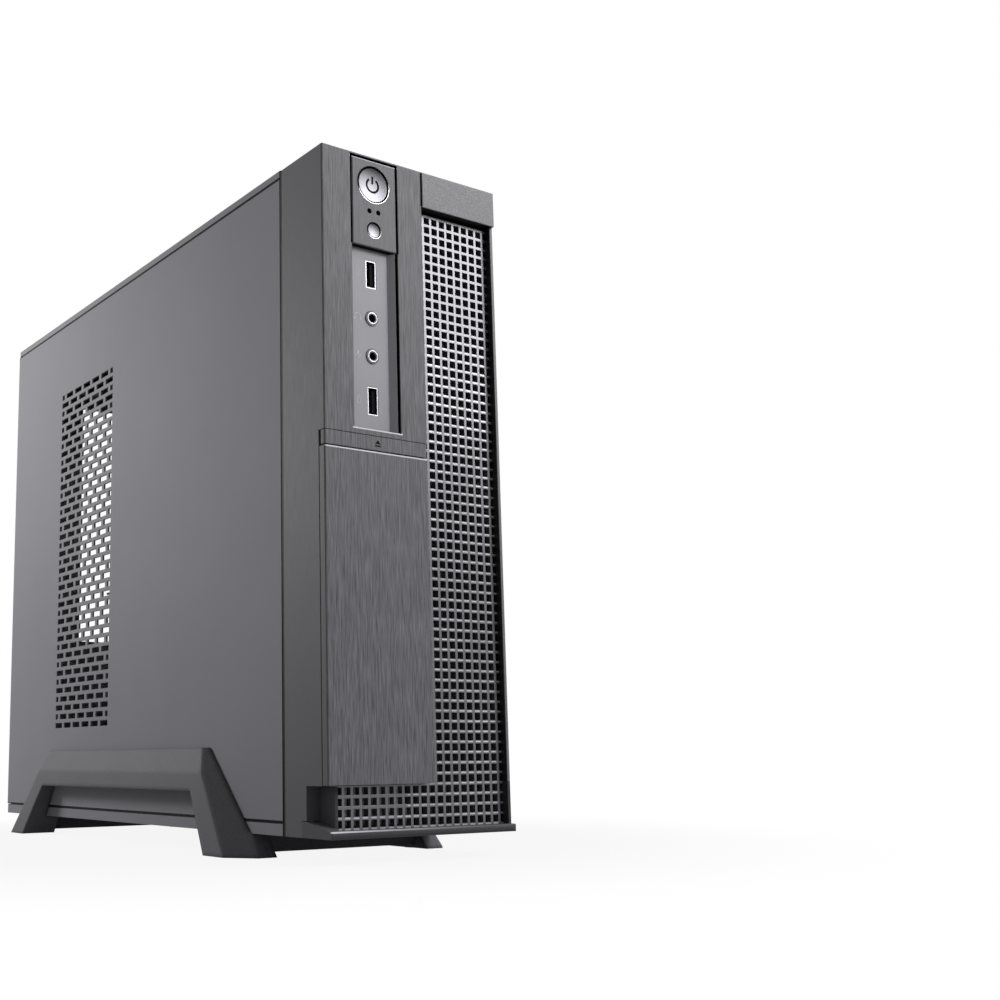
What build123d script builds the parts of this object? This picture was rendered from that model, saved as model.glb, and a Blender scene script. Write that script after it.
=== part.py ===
"""Slim desktop computer tower on a moulded stand: one STEP file per piece, in millimetres, +Z up.

The case is drawn with X from its middle plane, Y from the front face rearwards and Z from its underside.
save() then lifts it onto the stand and moves the whole object over the origin.
"""
import os

from build123d import *

# Case
case_width = 100.0
case_height = 301.5
case_depth = 359.4
bezel_depth = 34.0
stand_lift = 10.5
sheet = 1.0

# Clearances: a sliding fit, a push fit, a running or threaded fit, and how far a cutter runs past a face
slip = 0.3
push = 0.1
running = 0.05
past = 1.0

# Front bezel
bezel_wall = 3.0
bezel_gap = 0.3
bezel_split = 55.5
bezel_front_part = 20.0
bezel_round = 0.8
cap_gap = 0.8
cap_height = 17.3
cap_wall = 2.5
edge_wall = 1.6
edge_setback = 1.5
rail_height = 3.3
rail_proud = 2.3
rail_round = 1.4
notch_left_wall = 6.2
notch_depth = 16.3
notch_bottom = 6.7

# Square mesh
mesh_pitch = 4.5
mesh_bar = 1.35
mesh_setback = 4.5
mesh_bar_depth = 1.6
mesh_rib_depth = 2.4
mesh_first_upright = 55.4
mesh_columns = 9
mesh_low_columns = 10
mesh_first_row = 3.4
mesh_low_rows = 4
mesh_floor = 2.2

# Drive door and eject bar
door_bottom = 21.4
door_thickness = 4.0
door_pin_radius = 0.75
hinge_inset = 2.0
knuckle_radius = 1.5
knuckle_height = 9.0
knuckle_inset = 14.0
land_gap = 0.6
land_thickness = 2.0
land_lip = 1.0
eject_below_sockets = 2.7
eject_height = 6.85
eject_thickness = 2.8
eject_travel = 1.5
eject_stem_radius = 1.5
eject_stem_inset = 12.0

# Power panel and its controls, measured down from the top of the case
controls_x = 28.2
panel_left = 16.3
panel_right = 40.8
panel_below_top = 2.0
panel_height = 41.5
panel_gap = 1.0
panel_flange = 2.0
panel_chamfer = 0.5
power_below_top = 13.5
power_radius = 7.9
power_dish = 0.6
power_travel = 1.5
reset_below_top = 35.1
reset_radius = 3.2
reset_dish = 0.3
reset_travel = 1.0
button_gap = 0.35
button_setback = 0.2
button_stem_radius = 1.2
button_flange = 1.0
led_below_top = 26.3
led_spacing = 4.9
led_radius = 1.15
led_setback = 0.1
switch_size = 6.0
switch_height = 4.0
switch_engage = 1.0
button_board_setback = 14.0
pcb = 1.6
post_radius = 1.5
post_inset = 2.0

# Front sockets, measured down from the power panel
io_left = 15.8
io_right = 41.3
io_height = 83.7
io_plate_thickness = 2.0
io_margin = 2.2
io_board_setback = 18.0
io_cheek_width = 2.7
io_cheek_gap = 1.5
io_cheek_setback = 0.3
usb_width = 5.5
usb_height = 12.7
usb_wall = 0.4
usb_back = 1.0
usb_setback = 0.2
usb_tongue = 1.8
usb_tongue_setback = 1.2
usb_tongue_inset = 1.2
usb_upper_down = 11.5
usb_lower_down = 70.0
jack_upper_down = 32.0
jack_lower_down = 49.5
jack_bore_radius = 1.8
jack_ring_radius = 3.4
jack_ring_proud = 0.4
jack_body = 9.0
jack_back = 1.0

# Side panel
side_top_strip = 3.5
side_bottom_strip = 5.5
panel_flange_width = 9.0
vent_front = 212.7
vent_bottom = 51.0
vent_rows = 40
vent_row_pitch = 5.12
vent_pitch = 12.5
vent_slots = 6
slot_length = 9.6
slot_height = 3.0
slot_least = 1.0
thumb_head_radius = 3.6
thumb_head_length = 2.0
thumb_collar_radius = 3.0
thumb_collar = 0.5
thumb_flutes = 12
thumb_radius = 1.5
thumb_reach = 2.0
thumb_inset = 5.2
thumb_low = 14.0
thumb_below_top = 16.5

# Rubber feet on the right wall
side_foot_radius = 7.0
side_foot_height = 2.5
side_foot_stem = 2.0
side_foot_inset = 24.0
side_foot_low = 62.0

# Stand
stand_middle = 193.0
stand_top = 38.0
stand_shoulder = 26.5
stand_arch = 18.0
stand_top_half = 102.5
stand_arch_half = 90.0
foot_inner_half = 109.5
foot_outer_half = 141.0
stand_gap = 0.4
stand_top_lip = 2.6
stand_shoulder_out = 6.6
foot_outer = 62.0
foot_inner = 42.0
stand_wall = 2.5
stand_corner = 7.0
stand_rib_width = 14.0
stand_rib_clear = 2.0
stand_rib_set = 7.5
pad_radius = 6.5
pad_thickness = 1.2
pad_proud = 0.3
pad_inset = 2.0

# Front plate, behind the bezel
plate_margin = 6.0
plate_holes = 5

# Rear panel
io_aperture_width = 44.45
io_aperture_height = 158.75
io_aperture_left = -4.5
io_aperture_up = 1.0
slot_pitch = 20.32
slot_first_z = 31.0
slot_opening = 14.5
slot_left = -38.0
slot_right = 36.0
slot_lap = 2.0
slot_margin = 4.0
slot_screw_inset = 4.0
slot_screw_radius = 1.5
slot_screw_head = 2.8
slot_screw_head_height = 2.0
inlet_x = -12.0
inlet_below_top = 15.5
inlet_width = 27.0
inlet_height = 19.5
inlet_depth = 16.0
inlet_wall = 1.6
inlet_back = 2.0
inlet_corner = 5.0
inlet_flange_width = 48.0
inlet_flange_height = 23.0
inlet_flange_thickness = 2.5
blade_width = 2.0
blade_height = 4.0
blade_spacing = 7.0
blade_rise = 2.5
blade_setback = 1.0

# Board and what is on it
board_size = 170.0
board_face_x = 36.0
board_below_top = 22.5
board_rear_gap = 1.0
tray_margin = 3.0
standoff_height = 6.1
standoff_radius = 2.75
standoff_floor = 1.0
board_hole_radius = 1.8
board_screw_radius = 1.5
board_screw_head = 3.0
board_screw_head_height = 2.0
board_screw_short = 2.0
board_hole_inset_front = 6.35
board_hole_inset_rear = 10.16
cpu_from_rear = 68.0
cpu_up = 98.0
socket_size = 45.0
socket_height = 4.0
cpu_size = 36.0
cpu_height = 2.5
cpu_lid_inset = 3.0
heatsink_base = 3.0
heatsink_height = 13.0
heatsink_fins = 13
fin_thickness = 1.2
fan_size = 80.0
fan_depth = 10.5
fan_corner = 4.5
fan_screw_radius = 2.1
fan_duct_radius = 37.5
fan_tip_gap = 0.8
fan_hub_radius = 15.0
fan_hub_wall = 2.0
fan_hub_floor = 1.0
fan_strut = 2.5
fan_strut_width = 5.0
fan_boss = 4.0
fan_boss_radius = 3.0
fan_bore_floor = 0.5
fan_shaft_radius = 1.5
fan_end_gap = 0.4
fan_blades = 7
fan_blade_thickness = 1.4
fan_blade_chord = 13.0
fan_blade_pitch = 32.0
memory_length = 133.35
memory_height = 31.0
memory_thickness = 1.3
memory_pitch = 9.5
memory_up = 30.0
memory_from_rear = 94.0
memory_seat = 3.0
memory_slot_height = 8.0
memory_slot_width = 6.5
memory_latch = 4.0
chip_count = 8
chip_height = 12.0
chip_from_edge = 5.0
chip_gap = 6.0
chip_thickness = 1.05
card_length = 89.0
card_height = 11.0
card_width = 7.5
card_up = 8.0
card_from_rear = 27.0
card_groove = 2.0
card_wall = 3.0
port_depth = 14.0
port_wall = 0.8
port_floor = 3.0
port_proud = 0.8
port_gap = 2.0
port_first = 10.5
stacked_port = (14.5, 7.0)
network_port = (16.0, 13.0)
picture_port = (15.5, 6.0)
wide_port = (17.0, 6.0)
audio_port = 12.0
audio_port_floor = 2.0

# Drives
optical_height = 41.3
optical_width = 146.0
optical_depth = 170.0
optical_left = -45.5
optical_gap = 0.9
tray_front_height = 15.0
tray_front_length = 130.0
tray_front_thickness = 4.0
tray_front_proud = 0.4
tray_from_side = 5.0
hard_thickness = 26.1
hard_width = 101.6
hard_depth = 147.0
hard_lid = 2.0
hard_lid_inset = 4.0
hard_lid_rear = 20.0
hard_lid_round = 8.0
cage_post = 14.0
cage_fold = 8.0

# Power supply
psu_width = 65.0
psu_height = 85.0
psu_depth = 175.0
psu_below_top = 4.5
psu_wall = 1.0
psu_fan_from_front = 55.0
core_end_gap = 12.0
core_edge_gap = 5.0
core_post = 4.0
core_post_radius = 3.0
core_post_inset = 6.0
core_height = 30.0
transformer_size = 34.0
transformer_from_end = 70.0
transformer_height = 28.0
spreader_from_end = 58.0
spreader_thickness = 3.0
capacitor_radius = 10.0
capacitor_from_end = 26.0
capacitor_inset = 18.0

# Derived places
half = case_width / 2
split_x = bezel_split - half
controls = controls_x - half
rear_y = case_depth - sheet
object_front = -rail_proud
object_rear = case_depth + thumb_head_length
y_shift = -(object_front + object_rear) / 2
lip_left = -half + sheet + slip
inner_left = lip_left + sheet + slip

cap_bottom = case_height - cap_height
panel_top = case_height - panel_below_top
panel_bottom = panel_top - panel_height
power_z = case_height - power_below_top
reset_z = case_height - reset_below_top
led_z = case_height - led_below_top
io_bottom = panel_bottom - io_height
usb_heights = (panel_bottom - usb_upper_down, panel_bottom - usb_lower_down)
jack_heights = (panel_bottom - jack_upper_down, panel_bottom - jack_lower_down)
eject_top = io_bottom - eject_below_sockets
door_top = eject_top - eject_height

land_y = door_thickness + land_gap
shelf_top = eject_top + land_thickness
hinge_x = split_x - hinge_inset
hinge_y = door_thickness - knuckle_radius
frame_back = mesh_setback + mesh_bar_depth + mesh_rib_depth
panel_back = bezel_wall + panel_flange
io_back = bezel_wall + io_plate_thickness
small_board_left = panel_left - half - panel_flange
small_board_right = panel_right - half + panel_flange
small_board_top = case_height - bezel_wall - slip

thumb_heights = (thumb_low, case_height - thumb_below_top)
inlet_z = case_height - inlet_below_top
board_top = case_height - board_below_top
board_bottom = board_top - board_size
io_aperture_bottom = board_bottom + io_aperture_up
io_aperture_top = io_aperture_bottom + io_aperture_height
slot_tall = slot_opening / 2 + slot_lap
slot_room = io_aperture_bottom - slot_margin - slot_tall - slot_first_z
slot_count = int(slot_room / slot_pitch) + 1

board_rear = rear_y - sheet - board_rear_gap
board_front = board_rear - board_size
tray_x = board_face_x + pcb + standoff_height
cpu_y = board_rear - cpu_from_rear
cpu_z = board_bottom + cpu_up
cpu_top = board_face_x - socket_height - cpu_height
heatsink_top = cpu_top - heatsink_height
memory_y = board_rear - memory_from_rear

optical_bottom = door_bottom + bezel_wall + slip
optical_front = io_board_setback + pcb + optical_gap
optical_right = optical_left + optical_height
psu_left = inner_left + slip
psu_right = psu_left + psu_width
psu_front = bezel_depth + sheet
psu_rear = psu_front + psu_depth
psu_top = case_height - psu_below_top
psu_bottom = psu_top - psu_height
psu_fan_y = psu_front + psu_fan_from_front
psu_fan_z = psu_top - psu_height / 2


def block(x0, x1, y0, y1, z0, z1):
    """A box between two corners."""
    middle = Pos((x0 + x1) / 2, (y0 + y1) / 2, (z0 + z1) / 2)
    return middle * Box(x1 - x0, y1 - y0, z1 - z0)


def rod_x(x0, x1, y, z, radius):
    """A round bar along X."""
    return Pos((x0 + x1) / 2, y, z) * Rot(0, 90, 0) * Cylinder(radius, x1 - x0)


def rod_y(x, y0, y1, z, radius):
    """A round bar along Y."""
    return Pos(x, (y0 + y1) / 2, z) * Rot(90, 0, 0) * Cylinder(radius, y1 - y0)


def rod_z(x, y, z0, z1, radius):
    """A round bar along Z."""
    return Pos(x, y, (z0 + z1) / 2) * Cylinder(radius, z1 - z0)


def group(shapes):
    """Separate solids kept in one node."""
    return Compound([solid for shape in shapes for solid in shape.solids()])


def save(name, shape, lift=stand_lift):
    """Place a piece on the stand, over the origin, and write it."""
    export_step(Pos(0, y_shift, lift) * shape, f"parts/{name}.step")


# Stand

def stand_side(arch, section):
    """One side of the cradle: its arch seen from the side, cut to its splayed section seen from the end."""
    side = extrude(Plane.YZ * Polygon(*arch, align=None), amount=2 * foot_outer, both=True)
    return side & extrude(Plane.XZ * Polygon(*section, align=None), amount=2 * foot_outer_half, both=True)


def corner_cut(end, floor, wall, depth):
    """Cutter for the broad facet between a leg's end and its outer side."""
    end_face = Vector(0, end * (stand_top - floor), foot_outer_half - stand_top_half).normalized()
    side_face = Vector(stand_shoulder - floor, 0, foot_outer - wall - stand_shoulder_out).normalized()
    outward = (end_face + side_face).normalized()
    corner = Vector(foot_outer, end * foot_outer_half, floor)
    reach = 4 * stand_top
    cutter = Box(reach, reach, reach, align=(Align.CENTER, Align.CENTER, Align.MIN))
    return Plane(corner - outward * depth, z_dir=outward) * cutter


def pad_places():
    """Centres of the rubber pads, one in each foot, from the middle of the stand."""
    x = (foot_inner + foot_outer) / 2 - pad_inset
    y = (foot_inner_half + foot_outer_half) / 2 - pad_inset
    return [(side * x, end * y) for side in (-1, 1) for end in (-1, 1)]


def leg_hollow(end, floor, wall):
    """Room inside a leg, open underneath, with a boss left standing for its pad."""
    low = floor - past
    arch = [
        (end * (foot_inner_half + stand_wall), low), (end * (foot_outer_half - stand_wall), low),
        (end * (foot_outer_half - stand_wall), floor), (end * (stand_top_half - stand_wall), stand_top),
        (end * (stand_arch_half + stand_wall), stand_arch), (end * (foot_inner_half + stand_wall), floor),
    ]
    top = stand_shoulder - stand_wall
    section = [
        (foot_inner + stand_wall, low), (foot_outer - stand_wall, low), (foot_outer - stand_wall, floor),
        (wall + stand_shoulder_out - stand_wall, top), (wall + stand_wall, top),
        (wall + stand_wall, -stand_wall), (foot_inner + stand_wall, -stand_wall),
    ]
    room = stand_side(arch, section) - corner_cut(end, floor, wall, stand_corner + stand_wall)
    for x, y in pad_places():
        room -= rod_z(x, y, low, 0, pad_radius + stand_wall)
    return room


def stand_cradle():
    """Moulded cradle: two arched walls on hollow splayed feet, joined by two cross bars under the case."""
    floor = pad_proud - stand_lift
    wall = half + stand_gap
    arch = [
        (-foot_outer_half, floor), (-stand_top_half, stand_top),
        (stand_top_half, stand_top), (foot_outer_half, floor),
        (foot_inner_half, floor), (stand_arch_half, stand_arch),
        (-stand_arch_half, stand_arch), (-foot_inner_half, floor),
    ]
    section = [
        (foot_inner, floor), (foot_outer, floor),
        (wall + stand_shoulder_out, stand_shoulder), (wall + stand_top_lip, stand_top),
        (wall, stand_top), (wall, 0), (foot_inner, 0),
    ]
    right = stand_side(arch, section)
    for end in (-1, 1):
        right -= corner_cut(end, floor, wall, stand_corner)
        right -= leg_hollow(end, floor, wall)
    bars = []
    for end in (-1, 1):
        near = end * (foot_inner_half + stand_rib_set)
        far = end * (foot_inner_half + stand_rib_set + stand_rib_width)
        low = stand_rib_clear - stand_lift
        reach = foot_inner + slip
        bars.append(block(-reach, reach, min(near, far), max(near, far), low, 0))
    cradle = right + mirror(right, Plane.YZ) + bars
    for x, y in pad_places():
        cradle -= rod_z(x, y, floor, floor + pad_thickness - pad_proud, pad_radius)
    return Pos(0, stand_middle, 0) * cradle


def stand_pads():
    """Rubber pads, proud of the feet."""
    low, high = -stand_lift, pad_thickness - stand_lift
    return group([rod_z(x, y + stand_middle, low, high, pad_radius - push) for x, y in pad_places()])


# Sheet-metal chassis

def chassis_floor():
    """Floor with the narrow strip folded up its left edge."""
    plate = block(-half, half - sheet, bezel_depth, rear_y, 0, sheet)
    return plate + block(-half, -half + sheet, bezel_depth, rear_y, 0, side_bottom_strip)


def chassis_roof():
    """Roof with the narrow strip folded down its left edge."""
    plate = block(-half, half - sheet, bezel_depth, rear_y, case_height - sheet, case_height)
    strip = block(-half, -half + sheet, bezel_depth, rear_y, case_height - side_top_strip, case_height)
    return plate + strip


def right_wall():
    """Plain right side, drilled for the rubber feet."""
    wall = block(half - sheet, half, bezel_depth, rear_y, 0, case_height)
    for y, z in side_foot_places():
        wall -= rod_x(half - sheet - past, half + past, y, z, side_foot_stem)
    return wall


def side_foot_places():
    """Centres of the rubber feet that the case lies on when it is laid flat."""
    rows = (side_foot_low, case_height - side_foot_inset)
    columns = (bezel_depth + side_foot_inset, case_depth - side_foot_inset)
    return [(y, z) for y in columns for z in rows]


def side_feet():
    """Rubber feet with a stem through the right wall."""
    feet = []
    for y, z in side_foot_places():
        pad = rod_x(half, half + side_foot_height, y, z, side_foot_radius)
        feet.append(pad + rod_x(half - 2 * sheet, half, y, z, side_foot_stem - push))
    return group(feet)


def front_plate():
    """Inner front wall behind the bezel, open for the drive, the front wiring and the air from the mesh."""
    y0, y1 = bezel_depth - past, bezel_depth + sheet + past
    plate = block(inner_left, half - sheet, bezel_depth, bezel_depth + sheet, sheet, case_height - sheet)
    plate -= block(optical_left - slip, optical_right + slip, y0, y1,
                   optical_bottom - slip, optical_bottom + optical_width + slip)
    air_left = split_x + plate_margin
    air_right = half - sheet - plate_margin
    air_bottom = 2 * plate_margin
    step = (cap_bottom - air_bottom) / plate_holes
    for k in range(plate_holes):
        low = air_bottom + k * step
        plate -= block(air_left, air_right, y0, y1, low, low + step - plate_margin)
    wiring_bottom = eject_top + plate_margin
    wiring_top = psu_bottom - plate_margin
    return plate - block(controls - plate_margin, controls + plate_margin, y0, y1, wiring_bottom, wiring_top)


def slot_heights():
    """Heights of the card slots, evenly spaced upwards."""
    return [slot_first_z + k * slot_pitch for k in range(slot_count)]


def rear_panel():
    """Rear wall with the board's socket opening, card slots, inlet and panel screw holes."""
    y0, y1 = rear_y - sheet - past, rear_y + past
    plate = block(inner_left, half - sheet, rear_y - sheet, rear_y, sheet, case_height - sheet)
    plate -= block(io_aperture_left, io_aperture_left + io_aperture_width, y0, y1,
                   io_aperture_bottom, io_aperture_top)
    for z in slot_heights():
        plate -= block(slot_left, slot_right, y0, y1, z - slot_opening / 2, z + slot_opening / 2)
        plate -= rod_y(slot_left - slot_screw_inset, y0, y1, z, slot_screw_radius)
    for z in thumb_heights:
        plate -= rod_y(-half + thumb_inset, y0, y1, z, thumb_radius + slip)
    return plate - inlet_outline(y0, y1, slip)


def slot_covers():
    """Blank covers inside the card slots, each with a stiffening rib that fills its slot."""
    covers = []
    y1 = rear_y - sheet
    screw_x = slot_left - slot_screw_inset
    for z in slot_heights():
        cover = block(screw_x - slot_screw_inset, slot_right + slot_lap, y1 - sheet, y1,
                      z - slot_tall, z + slot_tall)
        rib = slot_opening / 2 - slot_lap
        cover += block(slot_left + slot_lap, slot_right - slot_lap, y1, y1 + sheet / 2, z - rib, z + rib)
        covers.append(cover - rod_y(screw_x, y1 - sheet - past, y1 + past, z, slot_screw_radius))
    return group(covers)


def slot_screws():
    """Screws that hold the slot covers, put in from inside."""
    screws = []
    x = slot_left - slot_screw_inset
    under_head = rear_y - 2 * sheet
    for z in slot_heights():
        head = rod_y(x, under_head - slot_screw_head_height, under_head, z, slot_screw_head)
        screws.append(head + rod_y(x, under_head, rear_y, z, slot_screw_radius - running))
    return group(screws)


# Side panel

def vent_rows_of_slots():
    """Slots of the side vent in running bond: whole rows, and rows that start and end with a short slot."""
    slots = []
    land = vent_pitch - slot_length
    rear_end = vent_front + vent_slots * vent_pitch - land
    for row in range(vent_rows):
        z = vent_bottom + row * vent_row_pitch
        shift = vent_pitch / 2 if row % 2 else 0
        for k in range(-1, vent_slots + 1):
            start = vent_front + k * vent_pitch + shift
            y0 = max(start, vent_front)
            y1 = min(start + slot_length, rear_end)
            if y1 - y0 > slot_least:
                slots.append((y0, y1, z))
    return slots


def left_panel():
    """Side cover: vented sheet with lips that run behind the chassis strips and a flange at the rear."""
    low = side_bottom_strip + slip
    high = case_height - side_top_strip - slip
    front = bezel_depth + slip
    x0, x1 = -half - past, -half + sheet + past
    face = block(-half, -half + sheet, front, case_depth, low, high)
    face -= [block(x0, x1, y0, y1, z, z + slot_height) for y0, y1, z in vent_rows_of_slots()]
    lip_front = front + 2 * sheet
    lip_rear = rear_y - sheet
    upper = block(-half + sheet, lip_left + sheet, lip_front, lip_rear, high - sheet, high)
    upper += block(lip_left, lip_left + sheet, lip_front, lip_rear, high - sheet, case_height - sheet - slip)
    lower = block(-half + sheet, lip_left + sheet, lip_front, lip_rear, low, low + sheet)
    lower += block(lip_left, lip_left + sheet, lip_front, lip_rear, sheet + slip, low + sheet)
    flange = block(-half, -half + panel_flange_width, rear_y, case_depth, low, high)
    for z in thumb_heights:
        flange -= rod_y(-half + thumb_inset, rear_y - past, case_depth + past, z, thumb_radius + running)
    return face + upper + lower + flange


def panel_thumbscrews():
    """Thumbscrews through the panel's rear flange into the rear wall: collar, fluted head and shank."""
    x = -half + thumb_inset
    flutes = RegularPolygon(thumb_head_radius, thumb_flutes)
    flutes += Rot(0, 0, 180 / thumb_flutes) * RegularPolygon(thumb_head_radius, thumb_flutes)
    screws = []
    for z in thumb_heights:
        grip = extrude(flutes, amount=thumb_head_length - thumb_collar)
        head = Pos(x, object_rear, z) * Rot(90, 0, 0) * grip
        head += rod_y(x, case_depth, case_depth + thumb_collar, z, thumb_collar_radius)
        screws.append(head + rod_y(x, rear_y - sheet - thumb_reach, case_depth, z, thumb_radius))
    return group(screws)


# Front bezel

def knuckle_spans():
    """Lower and upper height of each hinge knuckle."""
    low = door_bottom + knuckle_inset
    high = door_top - knuckle_inset - knuckle_height
    return [(z, z + knuckle_height) for z in (low, high)]


def eject_stem_places():
    """X of the eject bar's two guide stems."""
    return (-half + eject_stem_inset, split_x - eject_stem_inset)


def rounded_front(shape, top=False):
    """Round a piece's front left edge, and its top edges where the piece reaches the top of the case."""
    edges = [shape.edges().filter_by(Axis.Z).group_by(Axis.Y)[0].sort_by(Axis.X)[0]]
    if top:
        edges.append(shape.edges().filter_by(Axis.X).group_by(Axis.Y)[0].sort_by(Axis.Z)[-1])
        edges.append(shape.edges().filter_by(Axis.Y).group_by(Axis.Z)[-1].sort_by(Axis.X)[0])
    return fillet(edges, bezel_round)


def bezel_shell():
    """Brushed half of the front with its side wall, the land behind the door and the skirt."""
    front, back = bezel_front_part, bezel_depth
    skirt = block(-half, half, front, back, 0, case_height)
    skirt = fillet(skirt.edges().filter_by(Axis.Y).group_by(Axis.Z)[-1], bezel_round)
    skirt -= block(-half + bezel_wall, half - bezel_wall, front - past, back + past,
                   bezel_wall, case_height - bezel_wall)
    body = rounded_front(block(-half, split_x, 0, front, door_bottom, case_height), top=True)
    body -= block(-half + bezel_wall, split_x - bezel_wall, bezel_wall, front + past,
                  door_bottom + bezel_wall, case_height - bezel_wall)
    body -= block(-half - past, split_x + past, -past, land_y, door_bottom - past, eject_top)
    land = block(-half + bezel_wall, split_x, land_y, land_y + land_thickness, door_bottom, shelf_top)
    land -= block(optical_left + land_lip, optical_right - land_lip, 0, front,
                  door_bottom + bezel_wall, door_top - bezel_wall)
    for x in eject_stem_places():
        land -= rod_y(x, 0, front, (door_top + eject_top) / 2, eject_stem_radius + slip)
    shelf = block(-half + bezel_wall, split_x, 0, land_y + land_thickness, eject_top, shelf_top)
    notch_back = block(-half, -half + notch_left_wall, notch_depth, front, notch_bottom + slip, door_bottom)
    shell = skirt + body + land + shelf + notch_back
    shell -= block(panel_left - half - panel_gap, panel_right - half + panel_gap, -past, bezel_wall,
                   panel_bottom, panel_top + panel_gap)
    shell -= block(io_left - half, io_right - half, -past, bezel_wall, io_bottom, panel_bottom + past)
    for z0, z1 in knuckle_spans():
        shell += rod_z(hinge_x, hinge_y, z0, z1, knuckle_radius)
        shell += block(hinge_x - knuckle_radius, hinge_x + knuckle_radius, hinge_y, land_y + land_thickness, z0, z1)
        shell -= rod_z(hinge_x, hinge_y, z0 - past, z1 + past, door_pin_radius)
    return shell


def grille_frame():
    """Matte cap, right edge, rail and floor that hold the mesh, moulded as one piece."""
    front = bezel_front_part
    cap_left = split_x + cap_gap
    cap = block(cap_left, half, 0, front, cap_bottom, case_height)
    right_edge = cap.edges().filter_by(Axis.Y).group_by(Axis.Z)[-1].sort_by(Axis.X)[-1]
    top_edge = cap.edges().filter_by(Axis.X).group_by(Axis.Y)[0].sort_by(Axis.Z)[-1]
    cap = fillet([right_edge, top_edge], bezel_round)
    cap -= block(cap_left + cap_wall, half - cap_wall, cap_wall, front + past,
                 cap_bottom + cap_wall, case_height - cap_wall)
    edge = block(half - edge_wall, half, edge_setback, front, 0, cap_bottom)
    floor = block(-half, half, 0, front, 0, mesh_floor)
    wall_x = -half + notch_left_wall
    slope = [(0, 0), (front, 0), (front, notch_bottom), (notch_depth, notch_bottom), (0, rail_height)]
    corner = Pos(-half, 0, 0) * extrude(Plane.YZ * Polygon(*slope, align=None), amount=notch_left_wall)
    notch_wall = block(wall_x, wall_x + edge_wall, mesh_setback, front, 0, door_bottom - slip)
    rail = block(-half, half, -rail_proud, 0, 0, rail_height)
    rail += block(wall_x, half, 0, bezel_wall, 0, rail_height)
    rail_edges = rail.edges().filter_by(Axis.X).group_by(Axis.Y)[0]
    rail_end = rail.edges().filter_by(Axis.Z).group_by(Axis.Y)[0].sort_by(Axis.X)[-1]
    rail = fillet(list(rail_edges) + [rail_end], rail_round)
    stile = block(split_x + slip, split_x + slip + edge_wall, frame_back, front, 0, cap_bottom)
    ledge_x = half - edge_wall
    ledge = block(ledge_x - mesh_bar, ledge_x, frame_back, frame_back + edge_wall, 0, cap_bottom)
    return cap + edge + floor + corner + notch_wall + rail + stile + ledge


def mesh_grille():
    """Square mesh: cross bars in front of upright ribs, with a longer band along the bottom."""
    bars = []
    first = mesh_first_upright - half
    right_end = half - edge_wall
    low_left = -half + notch_left_wall + edge_wall
    reach = mesh_bar / 2
    rows = int((cap_bottom - mesh_bar - mesh_first_row) / mesh_pitch) + 1
    y1 = mesh_setback + mesh_bar_depth
    for row in range(rows):
        z = mesh_first_row + row * mesh_pitch
        left_end = low_left if row < mesh_low_rows else split_x + slip
        bars.append(block(left_end, right_end, mesh_setback, y1, z - reach, z + reach))
    for column in range(-mesh_low_columns, mesh_columns + 1):
        x = first + column * mesh_pitch
        top = cap_bottom if column > 0 else door_bottom - slip
        bars.append(block(x - reach, x + reach, y1, frame_back, mesh_floor, top))
    return group(bars)


def drive_door():
    """Side-hung door over the optical drive, with its knuckles hidden behind the front skin."""
    z0, z1 = door_bottom + bezel_gap, door_top - bezel_gap
    heel = rod_z(hinge_x, hinge_y, z0, z1, hinge_inset) & block(hinge_x, split_x, 0, door_thickness, z0, z1)
    door = rounded_front(block(-half, hinge_x, 0, door_thickness, z0, z1))
    door += block(hinge_x, split_x, 0, hinge_y, z0, z1) + heel
    reach = knuckle_radius + slip
    for low, high in knuckle_spans():
        door -= block(hinge_x - reach, split_x + past, hinge_y - reach, door_thickness + past,
                      low - slip, high + slip)
    return door - rod_z(hinge_x, hinge_y, z0 - past, z1 + past, door_pin_radius + running)


def door_hinge_pin():
    """Steel pin held by the knuckles, on which the door turns."""
    return rod_z(hinge_x, hinge_y, door_bottom + bezel_wall, door_top - bezel_wall, door_pin_radius)


def eject_bar():
    """Push bar above the door with two guide stems through the land."""
    z = (door_top + eject_top) / 2
    bar = block(-half, split_x - bezel_gap, 0, eject_thickness, door_top + bezel_gap, eject_top - bezel_gap)
    bar = rounded_front(bar)
    for x in eject_stem_places():
        bar += rod_y(x, eject_thickness, land_y + land_thickness + eject_travel, z, eject_stem_radius)
    return bar


# Power panel

def board_posts(z_low, z_high, y0, y1):
    """Four moulded posts that carry a small board."""
    xs = (small_board_left + post_inset, small_board_right - post_inset)
    zs = (z_low + post_inset, z_high - post_inset)
    return [rod_y(x, y0, y1, z, post_radius) for x in xs for z in zs]


def led_places():
    """X of the two lamps."""
    return (controls - led_spacing / 2, controls + led_spacing / 2)


def power_panel():
    """Raised panel round the power and reset buttons, with posts for the switch board."""
    boss = block(panel_left - half, panel_right - half, 0, bezel_wall, panel_bottom, panel_top)
    boss = chamfer(boss.faces().sort_by(Axis.Y)[0].edges(), panel_chamfer)
    low, high = panel_bottom + slip, small_board_top
    flange = block(small_board_left, small_board_right, bezel_wall, panel_back, low, high)
    panel = boss + flange + board_posts(low, high, panel_back, button_board_setback)
    panel -= rod_y(controls, -past, panel_back + past, power_z, power_radius + button_gap)
    panel -= rod_y(controls, -past, panel_back + past, reset_z, reset_radius + button_gap)
    for x in led_places():
        panel -= rod_y(x, -past, panel_back + past, led_z, led_radius + running)
    return panel


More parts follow.
